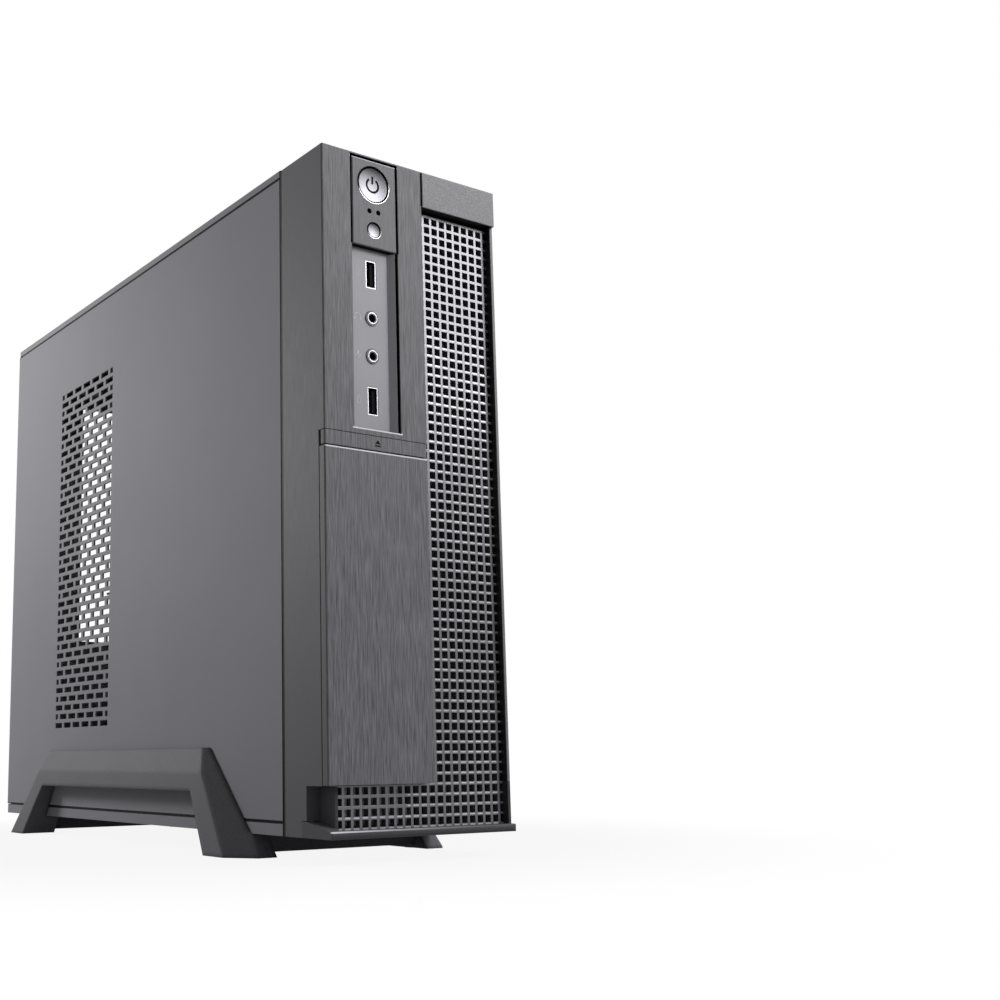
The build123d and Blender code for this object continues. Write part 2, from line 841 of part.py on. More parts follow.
def button(z, radius, dish):
    """Round push button: dished cap, retaining flange behind the panel, stem into its switch."""
    flange_y = panel_back + slip
    cap = rod_y(controls, button_setback, flange_y, z, radius)
    dish_radius = (radius * radius + dish * dish) / (2 * dish)
    cap -= Pos(controls, button_setback + dish - dish_radius, z) * Sphere(dish_radius)
    cap += rod_y(controls, flange_y, flange_y + button_flange, z, radius + 2 * button_gap)
    stem_end = button_board_setback - switch_height + switch_engage
    return cap + rod_y(controls, flange_y + button_flange, stem_end, z, button_stem_radius)


def led_pipes():
    """Light pipes from the switch board to the panel's face."""
    return group([rod_y(x, led_setback, button_board_setback, led_z, led_radius) for x in led_places()])


def button_board():
    """Small board behind the power panel."""
    y0, y1 = button_board_setback, button_board_setback + pcb
    return block(small_board_left, small_board_right, y0, y1, panel_bottom + slip, small_board_top)


def button_switches():
    """Push switches, bored for the button stems and their travel."""
    switches = []
    y0 = button_board_setback - switch_height
    reach = switch_size / 2
    for z, travel in ((power_z, power_travel), (reset_z, reset_travel)):
        body = block(controls - reach, controls + reach, y0, button_board_setback, z - reach, z + reach)
        bore_end = y0 + switch_engage + travel + slip
        switches.append(body - rod_y(controls, y0 - past, bore_end, z, button_stem_radius + push))
    return group(switches)


# Front sockets

def io_plate():
    """Recessed plate round the front sockets, with a sloping cheek on the right and posts for their board."""
    low, high = shelf_top + slip, panel_bottom
    plate = block(io_left - half - io_margin, io_right - half + io_margin, bezel_wall, io_back, low, high)
    plate += board_posts(low, high, io_back, io_board_setback)
    right = io_right - half - io_cheek_gap
    wedge = ((right - io_cheek_width, bezel_wall), (right, io_cheek_setback), (right, bezel_wall))
    cheek = extrude(Polygon(*wedge, align=None), amount=panel_bottom - io_bottom - 2 * slip)
    plate += Pos(0, 0, io_bottom + slip) * cheek
    x_reach = usb_width / 2 + push
    z_reach = usb_height / 2 + push
    for z in usb_heights:
        plate -= block(controls - x_reach, controls + x_reach, 0, io_back + past, z - z_reach, z + z_reach)
    for z in jack_heights:
        plate -= rod_y(controls, 0, io_back + past, z, jack_ring_radius + push)
    return plate


def front_io_board():
    """Board that carries the front sockets."""
    y0, y1 = io_board_setback, io_board_setback + pcb
    return block(small_board_left, small_board_right, y0, y1, shelf_top + slip, panel_bottom)


def front_usb_shells():
    """Sheet-metal shells of the front USB sockets, open to the front."""
    shells = []
    x_reach, z_reach = usb_width / 2, usb_height / 2
    y0 = bezel_wall + usb_setback
    for z in usb_heights:
        shell = block(controls - x_reach, controls + x_reach, y0, io_board_setback, z - z_reach, z + z_reach)
        shell -= block(controls - x_reach + usb_wall, controls + x_reach - usb_wall,
                       y0 - past, io_board_setback - usb_back, z - z_reach + usb_wall, z + z_reach - usb_wall)
        shells.append(shell)
    return group(shells)


def front_usb_tongues():
    """Contact tongues inside the USB shells."""
    tongues = []
    reach = usb_height / 2 - usb_tongue_inset
    x1 = controls + usb_width / 2 - usb_wall - slip
    y0, y1 = bezel_wall + usb_tongue_setback, io_board_setback - usb_back
    for z in usb_heights:
        tongues.append(block(x1 - usb_tongue, x1, y0, y1, z - reach, z + reach))
    return group(tongues)


def front_audio_jacks():
    """Audio jacks: a ring in the plate, a square body behind it and the plug's bore."""
    jacks = []
    reach = jack_body / 2
    for z in jack_heights:
        ring = rod_y(controls, bezel_wall - jack_ring_proud, io_back, z, jack_ring_radius)
        body = block(controls - reach, controls + reach, io_back, io_board_setback, z - reach, z + reach)
        jacks.append(ring + body - rod_y(controls, 0, io_board_setback - jack_back, z, jack_bore_radius))
    return group(jacks)


# Board and its fittings

def board_holes():
    """Centres of the four fixing holes."""
    ys = (board_front + board_hole_inset_front, board_rear - board_hole_inset_rear)
    zs = (board_bottom + board_hole_inset_front, board_top - board_hole_inset_front)
    return [(y, z) for y in ys for z in zs]


def motherboard_tray():
    """Plate behind the board, stepped off the right wall by its folded edges, open behind the processor."""
    y0, y1 = board_front - tray_margin, rear_y - sheet
    z0, z1 = board_bottom - tray_margin, board_top + tray_margin
    tray = block(tray_x, tray_x + sheet, y0, y1, z0, z1)
    tray += block(tray_x, half - sheet, y0, y1, z0 - sheet, z0)
    tray += block(tray_x, half - sheet, y0, y1, z1, z1 + sheet)
    return tray - square_on_board(tray_x - past, tray_x + sheet + past, socket_size)


def standoffs():
    """Threaded hexagon spacers between the tray and the board."""
    spacers = []
    length = tray_x - board_face_x - pcb
    hexagon = extrude(RegularPolygon(standoff_radius, 6), amount=length)
    for y, z in board_holes():
        spacer = Pos(board_face_x + pcb, y, z) * Rot(0, 90, 0) * hexagon
        bore = rod_x(board_face_x, tray_x - standoff_floor, y, z, board_screw_radius + push)
        spacers.append(spacer - bore)
    return group(spacers)


def motherboard():
    """Bare board with its fixing holes."""
    board = block(board_face_x, board_face_x + pcb, board_front, board_rear, board_bottom, board_top)
    return board - [rod_x(board_face_x - past, tray_x, y, z, board_hole_radius) for y, z in board_holes()]


def motherboard_screws():
    """Screws through the board into the spacers."""
    screws = []
    for y, z in board_holes():
        head = rod_x(board_face_x - board_screw_head_height, board_face_x, y, z, board_screw_head)
        screws.append(head + rod_x(board_face_x, tray_x - board_screw_short, y, z, board_screw_radius))
    return group(screws)


def square_on_board(x0, x1, size):
    """A square block round the processor's axis."""
    reach = size / 2
    return block(x0, x1, cpu_y - reach, cpu_y + reach, cpu_z - reach, cpu_z + reach)


def cpu_socket():
    """Processor socket."""
    return square_on_board(board_face_x - socket_height, board_face_x, socket_size)


def cpu():
    """Processor with its stepped lid."""
    x1 = board_face_x - socket_height
    lid = square_on_board(cpu_top, x1, cpu_size - 2 * cpu_lid_inset)
    return square_on_board(x1 - cpu_height / 2, x1, cpu_size) + lid


def heatsink():
    """Finned block on the processor."""
    fin_root = cpu_top - heatsink_base
    reach = fan_size / 2
    sink = square_on_board(fin_root, cpu_top, fan_size)
    step = (fan_size - fin_thickness) / (heatsink_fins - 1)
    for k in range(heatsink_fins):
        z = cpu_z - reach + k * step
        sink += block(heatsink_top, fin_root, cpu_y - reach, cpu_y + reach, z, z + fin_thickness)
    return sink


def fan_frame():
    """Square fan housing, axis along Z: duct, four struts and the bearing boss."""
    body = Pos(0, 0, fan_depth / 2) * Box(fan_size, fan_size, fan_depth)
    body = fillet(body.edges().filter_by(Axis.Z), fan_corner)
    body -= Pos(0, 0, fan_depth / 2) * Cylinder(fan_duct_radius, 2 * fan_depth)
    hub = Pos(0, 0, fan_strut / 2) * Cylinder(fan_hub_radius, fan_strut)
    strut = Box(fan_duct_radius + past, fan_strut_width, fan_strut)
    strut = Pos(fan_duct_radius / 2, 0, fan_strut / 2) * strut
    struts = [Rot(0, 0, 45 + 90 * k) * strut for k in range(4)]
    boss = Pos(0, 0, fan_strut + fan_boss / 2) * Cylinder(fan_boss_radius, fan_boss)
    bore_top = fan_strut + fan_boss + past
    bore_radius = fan_shaft_radius + running
    bore = rod_z(0, 0, fan_strut - fan_bore_floor, bore_top, bore_radius)
    hole_reach = fan_size / 2 - fan_corner
    spots = (-hole_reach, hole_reach)
    holes = [rod_z(x, y, -past, fan_depth + past, fan_screw_radius) for x in spots for y in spots]
    return body + hub + struts + boss - bore - holes


def fan_rotor():
    """Fan wheel, axis along Z: hub cup on its shaft with pitched blades."""
    low, high = fan_strut + fan_end_gap, fan_depth - fan_end_gap
    middle = (low + high) / 2
    tip = fan_duct_radius - fan_tip_gap
    root = fan_hub_radius - fan_hub_wall / 2
    blade = Pos((root + tip) / 2, 0, middle) * Rot(fan_blade_pitch, 0, 0)
    blade *= Box(tip - root, fan_blade_chord, fan_blade_thickness)
    room = rod_z(0, 0, low, high, tip)
    wheel = rod_z(0, 0, low, high, fan_hub_radius)
    wheel += [Rot(0, 0, 360 * k / fan_blades) * (blade & room) for k in range(fan_blades)]
    wheel -= rod_z(0, 0, low - past, high - fan_hub_floor, fan_hub_radius - fan_hub_wall)
    return wheel + rod_z(0, 0, fan_strut, high, fan_shaft_radius)


def on_cooler(shape):
    """Place a fan piece on the heatsink, blowing onto it."""
    return Pos(heatsink_top, cpu_y, cpu_z) * Rot(0, -90, 0) * shape


def memory_places():
    """Z of the two memory slots."""
    first = board_bottom + memory_up
    return (first, first + memory_pitch)


def memory_slots():
    """Memory sockets along the lower part of the board."""
    slots = []
    reach = memory_length / 2
    wide = memory_slot_width / 2
    groove_wide = memory_thickness / 2 + push
    for z in memory_places():
        body = block(board_face_x - memory_slot_height, board_face_x,
                     memory_y - reach - memory_latch, memory_y + reach + memory_latch, z - wide, z + wide)
        groove = block(board_face_x - memory_slot_height - past, board_face_x - memory_seat,
                       memory_y - reach - push, memory_y + reach + push, z - groove_wide, z + groove_wide)
        slots.append(body - groove)
    return group(slots)


def memory_modules():
    """Memory modules with a row of chips on each."""
    modules = []
    x1 = board_face_x - memory_seat
    x0 = x1 - memory_height
    y0 = memory_y - memory_length / 2
    step = memory_length / chip_count
    chip_x = x0 + chip_from_edge
    for z in memory_places():
        face = z + memory_thickness / 2
        module = block(x0, x1, y0, y0 + memory_length, z - memory_thickness / 2, face)
        for k in range(chip_count):
            chip_y = y0 + k * step + chip_gap / 2
            module += block(chip_x, chip_x + chip_height, chip_y, chip_y + step - chip_gap,
                            face, face + chip_thickness)
        modules.append(module)
    return group(modules)


def card_connector():
    """Edge connector for one expansion card."""
    y1 = board_rear - card_from_rear
    y0 = y1 - card_length
    z = board_bottom + card_up
    x0 = board_face_x - card_height
    body = block(x0, board_face_x, y0, y1, z - card_width / 2, z + card_width / 2)
    groove = card_groove / 2
    return body - block(x0 - past, board_face_x - card_groove, y0 + card_wall, y1 - card_wall,
                        z - groove, z + groove)


def rear_ports():
    """Low socket shells along the rear edge of the board, open to the rear, and one audio jack."""
    sizes = [stacked_port, stacked_port, network_port, picture_port, wide_port, stacked_port, stacked_port]
    ports = []
    z = board_bottom + port_first
    y0, y1 = rear_y - port_depth, rear_y + port_proud
    for width, height in sizes:
        shell = block(board_face_x - height, board_face_x, y0, y1, z, z + width)
        shell -= block(board_face_x - height + port_wall, board_face_x - port_wall,
                       y0 + port_floor, y1 + past, z + port_wall, z + width - port_wall)
        ports.append(shell)
        z += width + port_gap
    middle = audio_port / 2
    jack = block(board_face_x - audio_port, board_face_x, y0, y1, z, z + audio_port)
    bore = rod_y(board_face_x - middle, y0 + audio_port_floor, y1 + past, z + middle, jack_bore_radius)
    ports.append(jack - bore)
    return group(ports)


# Drives

def drive_cage():
    """Bracket for both drives: divider and shelves for the disc drive, pan and post for the hard drive."""
    y0, y1 = bezel_depth + sheet, optical_front + optical_depth
    low, high = optical_bottom, optical_bottom + optical_width + slip
    divider_x = optical_right + slip
    divider_right = divider_x + sheet
    right = half - sheet
    cage = block(divider_x, divider_right, y0, y1, sheet, high + sheet)
    cage += block(inner_left, divider_right, y0, y1, low - sheet, low)
    cage += block(inner_left, divider_right, y0, y1, high, high + sheet)
    cage += block(inner_left, divider_x, y1 - sheet, y1, high, high + cage_fold)
    cage += block(divider_x, right, y0, y1, sheet, 2 * sheet)
    return cage + block(right - sheet, right, y0, y0 + cage_post, sheet, hard_width)


def tray_span():
    """Corners of the disc tray's front, X and Z."""
    x0 = optical_left + tray_from_side
    z0 = optical_bottom + (optical_width - tray_front_length) / 2
    return x0, x0 + tray_front_height, z0, z0 + tray_front_length


def optical_drive():
    """Disc drive standing on edge, with the recess for its tray's front."""
    body = block(optical_left, optical_right, optical_front, optical_front + optical_depth,
                 optical_bottom, optical_bottom + optical_width)
    x0, x1, z0, z1 = tray_span()
    recess_end = optical_front + tray_front_thickness
    return body - block(x0 - slip, x1 + slip, optical_front - past, recess_end, z0 - slip, z1 + slip)


def optical_tray():
    """Front of the drive's disc tray."""
    x0, x1, z0, z1 = tray_span()
    return block(x0, x1, optical_front - tray_front_proud, optical_front + tray_front_thickness, z0, z1)


def hard_drive():
    """Hard drive standing on edge beside the disc drive, with a raised lid."""
    x1 = half - 2 * sheet - slip
    x0 = x1 - hard_thickness
    y0 = bezel_depth + sheet
    y1 = y0 + hard_depth
    z0 = 2 * sheet
    z1 = z0 + hard_width
    lid = block(x0, x0 + hard_lid, y0 + hard_lid_inset, y1 - hard_lid_rear,
                z0 + hard_lid_inset, z1 - hard_lid_inset)
    lid = fillet(lid.edges().filter_by(Axis.X), hard_lid_round)
    return block(x0 + hard_lid, x1, y0, y1, z0, z1) + lid


# Power supply

def psu_case():
    """Sheet-metal box with the fan's opening."""
    case = block(psu_left, psu_right, psu_front, psu_rear, psu_bottom, psu_top)
    case -= block(psu_left + psu_wall, psu_right - psu_wall, psu_front + psu_wall, psu_rear - psu_wall,
                  psu_bottom + psu_wall, psu_top - psu_wall)
    return case - rod_x(psu_right - psu_wall - past, psu_right + past, psu_fan_y, psu_fan_z, fan_duct_radius)


def psu_core():
    """Supply's board on its posts, with the transformer, a heat spreader and two capacitors."""
    wall = psu_left + psu_wall
    y0, y1 = psu_front + core_end_gap, psu_rear - core_end_gap
    z0, z1 = psu_bottom + core_edge_gap, psu_top - core_edge_gap
    under = wall + core_post
    face = under + pcb
    core = block(under, face, y0, y1, z0, z1)
    for y in (y0 + core_post_inset, y1 - core_post_inset):
        for z in (z0 + core_post_inset, z1 - core_post_inset):
            core += rod_x(wall, under, y, z, core_post_radius)
    reach = transformer_size / 2
    transformer_y = y0 + transformer_from_end
    core += block(face, face + transformer_height, transformer_y, transformer_y + transformer_size,
                  psu_fan_z - reach, psu_fan_z + reach)
    spreader_y = y0 + spreader_from_end
    core += block(face, face + core_height, spreader_y, spreader_y + spreader_thickness,
                  z0 + core_post_inset, z1 - core_post_inset)
    for z in (z0 + capacitor_inset, z1 - capacitor_inset):
        core += rod_x(face, face + core_height, y1 - capacitor_from_end, z, capacitor_radius)
    return core


def in_psu(shape):
    """Place a fan piece inside the supply, facing its opening."""
    return Pos(psu_right - psu_wall - fan_depth, psu_fan_y, psu_fan_z) * Rot(0, 90, 0) * shape


def inlet_outline(y0, y1, grow):
    """The inlet's six-sided body between two depths, with its two upper corners cut off."""
    wide, tall = inlet_width / 2 + grow, inlet_height / 2 + grow
    body = block(inlet_x - wide, inlet_x + wide, y0, y1, inlet_z - tall, inlet_z + tall)
    return chamfer(body.edges().filter_by(Axis.Y).group_by(Axis.Z)[-1], inlet_corner)


def ac_inlet():
    """Mains inlet at the top of the rear wall, with its three blades."""
    back = rear_y - inlet_depth
    face = rear_y + inlet_flange_thickness
    flange_wide, flange_tall = inlet_flange_width / 2, inlet_flange_height / 2
    body = inlet_outline(back, rear_y, 0)
    body += block(inlet_x - flange_wide, inlet_x + flange_wide, rear_y, face,
                  inlet_z - flange_tall, inlet_z + flange_tall)
    body -= inlet_outline(back + inlet_back, face + past, -inlet_wall)
    wide, tall = blade_width / 2, blade_height / 2
    for side in (-1, 0, 1):
        x = inlet_x + side * blade_spacing
        z = inlet_z + blade_rise * (1 - 2 * abs(side))
        body += block(x - wide, x + wide, back, rear_y - blade_setback, z - tall, z + tall)
    return body


pieces = {
    "stand_cradle": stand_cradle(),
    "stand_pads": stand_pads(),
    "chassis_floor": chassis_floor(),
    "chassis_roof": chassis_roof(),
    "right_wall": right_wall(),
    "side_feet": side_feet(),
    "front_plate": front_plate(),
    "rear_panel": rear_panel(),
    "slot_covers": slot_covers(),
    "slot_screws": slot_screws(),
    "left_panel": left_panel(),
    "panel_thumbscrews": panel_thumbscrews(),
    "bezel_shell": bezel_shell(),
    "grille_frame": grille_frame(),
    "mesh_grille": mesh_grille(),
    "drive_door": drive_door(),
    "door_hinge_pin": door_hinge_pin(),
    "eject_bar": eject_bar(),
    "power_panel": power_panel(),
    "power_button": button(power_z, power_radius, power_dish),
    "reset_button": button(reset_z, reset_radius, reset_dish),
    "led_pipes": led_pipes(),
    "button_board": button_board(),
    "button_switches": button_switches(),
    "io_plate": io_plate(),
    "front_io_board": front_io_board(),
    "front_usb_shells": front_usb_shells(),
    "front_usb_tongues": front_usb_tongues(),
    "front_audio_jacks": front_audio_jacks(),
    "motherboard_tray": motherboard_tray(),
    "standoffs": standoffs(),
    "motherboard": motherboard(),
    "motherboard_screws": motherboard_screws(),
    "cpu_socket": cpu_socket(),
    "cpu": cpu(),
    "heatsink": heatsink(),
    "cooler_fan_frame": on_cooler(fan_frame()),
    "cooler_fan_rotor": on_cooler(fan_rotor()),
    "memory_slots": memory_slots(),
    "memory_modules": memory_modules(),
    "card_connector": card_connector(),
    "rear_ports": rear_ports(),
    "drive_cage": drive_cage(),
    "optical_drive": optical_drive(),
    "optical_tray": optical_tray(),
    "hard_drive": hard_drive(),
    "psu_case": psu_case(),
    "psu_core": psu_core(),
    "psu_fan_frame": in_psu(fan_frame()),
    "psu_fan_rotor": in_psu(fan_rotor()),
    "ac_inlet": ac_inlet(),
}
os.makedirs("parts", exist_ok=True)
for name, shape in pieces.items():
    save(name, shape)
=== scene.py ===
# %% [markdown]
# # A slim computer tower on its stand
# The metal and plastic of this tower were drawn as solids and packed as a fixed frame. Here each of those
# solids gets its finish, and the fine things that a solid model leaves out are added: the square mesh as
# one moulding, the marks on the controls, the parts on the circuit board. The frame is loaded first,
# because every added piece takes its place from it.

# %% Load the imported model
import math

import bmesh
import bpy
from mathutils import Matrix, Vector


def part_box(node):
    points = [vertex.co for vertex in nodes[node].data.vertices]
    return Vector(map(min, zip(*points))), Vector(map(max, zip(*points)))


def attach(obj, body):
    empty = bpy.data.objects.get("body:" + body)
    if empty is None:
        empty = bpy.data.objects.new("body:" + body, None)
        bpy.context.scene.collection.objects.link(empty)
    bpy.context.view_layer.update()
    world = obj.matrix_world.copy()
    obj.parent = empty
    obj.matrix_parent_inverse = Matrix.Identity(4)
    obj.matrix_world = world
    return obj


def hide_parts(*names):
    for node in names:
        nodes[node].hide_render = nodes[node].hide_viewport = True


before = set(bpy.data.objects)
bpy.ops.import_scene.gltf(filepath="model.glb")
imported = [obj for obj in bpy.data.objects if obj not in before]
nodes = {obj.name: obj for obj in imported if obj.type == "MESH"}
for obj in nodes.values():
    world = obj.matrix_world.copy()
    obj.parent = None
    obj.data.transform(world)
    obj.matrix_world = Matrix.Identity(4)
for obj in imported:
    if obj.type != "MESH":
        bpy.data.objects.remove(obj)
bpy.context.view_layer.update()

# %% [markdown]
# ## Places on the case
# Sizes on the real case are easier to read from its own corners than from the floor: across from the
# middle, back from the front face, and up from the underside, in millimetres. One helper turns such a
# place into metres in the frame. The front face and the underside are read from solids that lie on them,
# so nothing here is fitted by eye. A width that goes straight into a shader or a tree is written in
# metres, as Blender counts.

# %% Places in millimetres from the front and the underside
front_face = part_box("power_panel")[0].y
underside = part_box("chassis_floor")[0].z


def at(across, back, up):
    """A place on the case, given in millimetres, as metres in the frame."""
    return Vector((across / 1000, front_face + back / 1000, underside + up / 1000))


print("front face at", round(front_face, 5), "underside at", round(underside, 5))

# %% [markdown]
# ## The camera
# The photographer stood in front and to the left, with the lens low and tilted up a little, so the
# upright edges draw together towards the top. The camera could be turned by hand until it looks right,
# but a fit is better: known corners of the case were matched to where they fall in the picture, which
# gives a place, three axes and a focal length. The tower stands left of the middle of the frame, so part
# of that is a small sideways shift of the lens.

# %% Set up the camera
camera_data = bpy.data.cameras.new("Camera")
camera_data.sensor_width = 36
camera_data.lens = 46.855
camera_data.shift_x = 0.20
camera_data.shift_y = 0.045
camera_data.clip_start = 0.01
camera = bpy.data.objects.new("Camera", camera_data)
bpy.context.scene.collection.objects.link(camera)
camera_place = Vector((-0.35469, -0.62408, 0.04438))
camera_right = Vector((0.83668, -0.54763, -0.00775)).normalized()
camera_ahead = Vector((0.54165, 0.82527, 0.15985)).normalized()
camera_up = camera_right.cross(camera_ahead)
turn = Matrix((camera_right, camera_up, -camera_ahead)).transposed()
camera.matrix_world = Matrix.Translation(camera_place) @ turn.to_4x4()
bpy.context.scene.camera = camera
bpy.context.scene.view_settings.view_transform = "Standard"
print("camera", [round(value, 3) for value in camera.matrix_world.translation])

# %% [markdown]
# ## Shader arithmetic
# A finish is mostly sums: a noise times a mask, one minus a line, a little of this added to that. Drawn
# as nodes these are hard to read, so a socket is wrapped in a small class and Python's own operators add
# the Math nodes. One more method adds any other node, with its settings first and then what goes into its
# sockets. The same class serves for Geometry Nodes, whose trees are built of the same kind of nodes and
# links.

# %% A socket with Python operators
class Wire:
    """An output socket in a node tree. Arithmetic on it adds Math nodes."""

    def __init__(self, tree, socket):
        self.tree = tree
        self.socket = socket

    def node(self, kind, settings=None, inputs=None, output=0):
        """Add a node of any kind and return the wire that leaves it."""
        made = self.tree.nodes.new(kind)
        for name, value in (settings or {}).items():
            setattr(made, name, value)
        for name, value in (inputs or {}).items():
            if isinstance(value, Wire):
                self.tree.links.new(value.socket, made.inputs[name])
            else:
                made.inputs[name].default_value = value
        return Wire(self.tree, made.outputs[output])

    def sum(self, operation, first, second=0.0, clamp=False):
        """One Math node on two values."""
        settings = {"operation": operation, "use_clamp": clamp}
        return self.node("ShaderNodeMath", settings, {0: first, 1: second})

    def __add__(self, other):
        return self.sum("ADD", self, other)

    def __radd__(self, other):
        return self.sum("ADD", other, self)

    def __sub__(self, other):
        return self.sum("SUBTRACT", self, other)

    def __rsub__(self, other):
        return self.sum("SUBTRACT", other, self)

    def __mul__(self, other):
        return self.sum("MULTIPLY", self, other)

    def __rmul__(self, other):
        return self.sum("MULTIPLY", other, self)

    def below(self, level):
        """1 where the value is under a level, else 0."""
        return self.sum("LESS_THAN", self, level)

    def above(self, level):
        """1 where the value is over a level, else 0."""
        return self.sum("GREATER_THAN", self, level)

    def between(self, low, high):
        """1 where the value lies between two levels, else 0."""
        return self.above(low) * self.below(high)

    def held(self):
        """The value kept between 0 and 1."""
        return self.sum("ADD", self, 0.0, clamp=True)

    def colour(self, low, high):
        """A colour between two, by this value. Either may be another colour wire."""
        low = low if isinstance(low, Wire) else (*low, 1)
        high = high if isinstance(high, Wire) else (*high, 1)
        return self.node("ShaderNodeMix", {"data_type": "RGBA"}, {0: self, 6: low, 7: high}, output=2)

    def axis(self, name):
        """One coordinate of a place."""
        return self.node("ShaderNodeSeparateXYZ", {}, {0: self}, output="XYZ".index(name))

    def stretched(self, x, y, z):
        """The same places with each axis multiplied, to draw a pattern out along one of them."""
        return self.node("ShaderNodeMapping", {}, {"Vector": self, "Scale": (x, y, z)})

    def noise(self, per_metre, detail=2.0):
        """Soft noise, 0 to 1, with this many lumps in a metre."""
        inputs = {"Vector": self, "Scale": per_metre, "Detail": detail}
        return self.node("ShaderNodeTexNoise", {}, inputs)

    def cells(self, per_metre, output="Distance"):
        """Voronoi cells, by distance or by a colour for each cell."""
        inputs = {"Vector": self, "Scale": per_metre}
        return self.node("ShaderNodeTexVoronoi", {}, inputs, output)


print("arithmetic for sockets is ready")

# %% [markdown]
# ## Starting a finish
# Every finish is one Principled shader. What is the same all over, such as whether it is metal, is set on
# the shader's own sockets. What changes over the surface is wired in. A place on the piece comes from its
# Object coordinates, which stay with the piece when it moves. A hairline of rounding on every edge could
# be modelled, but the solids are fixed, so a small Bevel node bends the light at the edges instead and
# the bump goes on top of it.

# %% Helpers for finishes
cool_tint = (0.985, 0.97, 1.06)


def grey(level):
    """A neutral colour, very slightly cool, from a screen value of 0 to 255."""
    share = level / 255
    light = ((share + 0.055) / 1.055) ** 2.4 if share > 0.04 else share / 12.92
    return tuple(light * tint for tint in cool_tint)


class Finish:
    """A material under construction: its shader, and the place on the piece as a wire."""

    def __init__(self, name, **plain):
        self.material = bpy.data.materials.new(name)
        self.material.use_nodes = True
        self.tree = self.material.node_tree
        self.shader = self.tree.nodes["Principled BSDF"]
        for word, value in plain.items():
            socket = word.replace("_", " ").title().replace("Ior", "IOR")
            self.shader.inputs[socket].default_value = value
        coordinates = self.tree.nodes.new("ShaderNodeTexCoord")
        self.place = Wire(self.tree, coordinates.outputs["Object"])

    def wire(self, socket, value):
        """Lead a wire into the shader."""
        self.tree.links.new(value.socket, self.shader.inputs[socket])

    def relief(self, height, depth, edge=0.0):
        """Bump of a depth in metres, over edges rounded by a radius in metres."""
        inputs = {"Height": height, "Distance": depth, "Strength": 1.0}
        if edge:
            inputs["Normal"] = height.node("ShaderNodeBevel", {"samples": 4}, {"Radius": edge})
        self.wire("Normal", height.node("ShaderNodeBump", {}, inputs))


def dress(finish, *names):
    """Give solids a finish."""
    for name in names:
        nodes[name].data.materials.clear()
        nodes[name].data.materials.append(finish.material)
    print(finish.material.name, "on", ", ".join(names))


print("a middle grey is", [round(part, 3) for part in grey(128)], "in light")

# %% [markdown]
# ## Painted sheet steel
# The side cover, floor, roof and right wall are folded steel under a charcoal paint with a fine, dry
# texture. The texture could be sculpted, but its bumps are under half a millimetre, so two noises do it:
# a fine one as relief and a broad one that lets the paint vary very slightly in tone, as a sprayed coat
# does. Where the cover meets the roof, the floor and the bezel, the sheets' cut edges lie in shadow, so a
# narrow strip there is black and takes no gloss.

# %% Charcoal paint
paint = Finish("Charcoal paint", specular_ior_level=0.15)
paint_grain = paint.place.noise(2600, 3.0)
paint_cloud = paint.place.noise(14, 2.0)
paint_tone = (paint_grain * 0.35 + paint_cloud * 0.65).colour(grey(122), grey(137))
floor_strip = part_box("chassis_floor")[1].z
roof_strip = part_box("chassis_roof")[0].z
cover_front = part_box("left_panel")[0].y
cover_inside = at(-49.0, 0, 0).x
sheet_edge = 0.0004
seam_width = 0.0010
front_seam_width = 0.0006
paint_up = paint.place.axis("Z")
on_cover = paint.place.axis("X").below(cover_inside)
low_seam = paint_up.between(floor_strip - sheet_edge, floor_strip + seam_width)
top_seam = paint_up.between(roof_strip - seam_width, roof_strip + sheet_edge)
front_seam = paint.place.axis("Y").below(cover_front + front_seam_width)
in_seam = (low_seam + top_seam + front_seam).held() * on_cover
paint.wire("Base Color", in_seam.colour(paint_tone, grey(8)))
paint.wire("Metallic", in_seam)
paint.wire("Roughness", paint_grain * 0.12 + 0.62)
paint.relief(paint_grain, 0.00006, edge=0.0005)
dress(paint, "left_panel", "chassis_floor", "chassis_roof", "right_wall")

# %% [markdown]
# ## Brushed front and plain sides
# The left half of the front is one plastic moulding whose face carries upright brush lines, while its
# sides are smooth. Two materials would need two pieces, so one finish knows where it is: whatever lies in
# the plane of the front face is brushed and the rest is plain. The walls of the slot round the power
# panel and the hairline where the bezel meets the side cover and the cap get painted shade, black and
# without reflection, and three upper edges get a painted highlight. The lines are noise drawn out along
# the height. They change the tone, the gloss and, very slightly, the relief.

# %% Where the front's slot, seams and painted edge highlights lie
slot_left = at(-35.0, 0, 0).x
slot_right = at(-8.0, 0, 0).x
slot_low = at(0, 0, 173.5).z
slot_depth = 0.004
cap_low = at(0, 0, 284.3).z
split = at(5.5, 0, 0).x
door_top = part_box("drive_door")[1].z
recess_low = at(0, 0, 174.3).z
panel_top = at(0, 0, 299.5).z
highlight_width = 0.0006
highlight_over = 0.0001
face_depth = 0.0004
cover_hairline = 0.0016
cap_hairline = 0.0004


def highlight_line(up, top):
    """1 on the narrow line just under the top of an edge, where a highlight is painted, else 0."""
    return up.between(top - highlight_width, top + highlight_over)


print("slot is", round((slot_right - slot_left) * 1000, 1), "mm wide, edges", highlight_width * 1000, "mm")

# %% Brushed plastic
line_contrast = 2.3


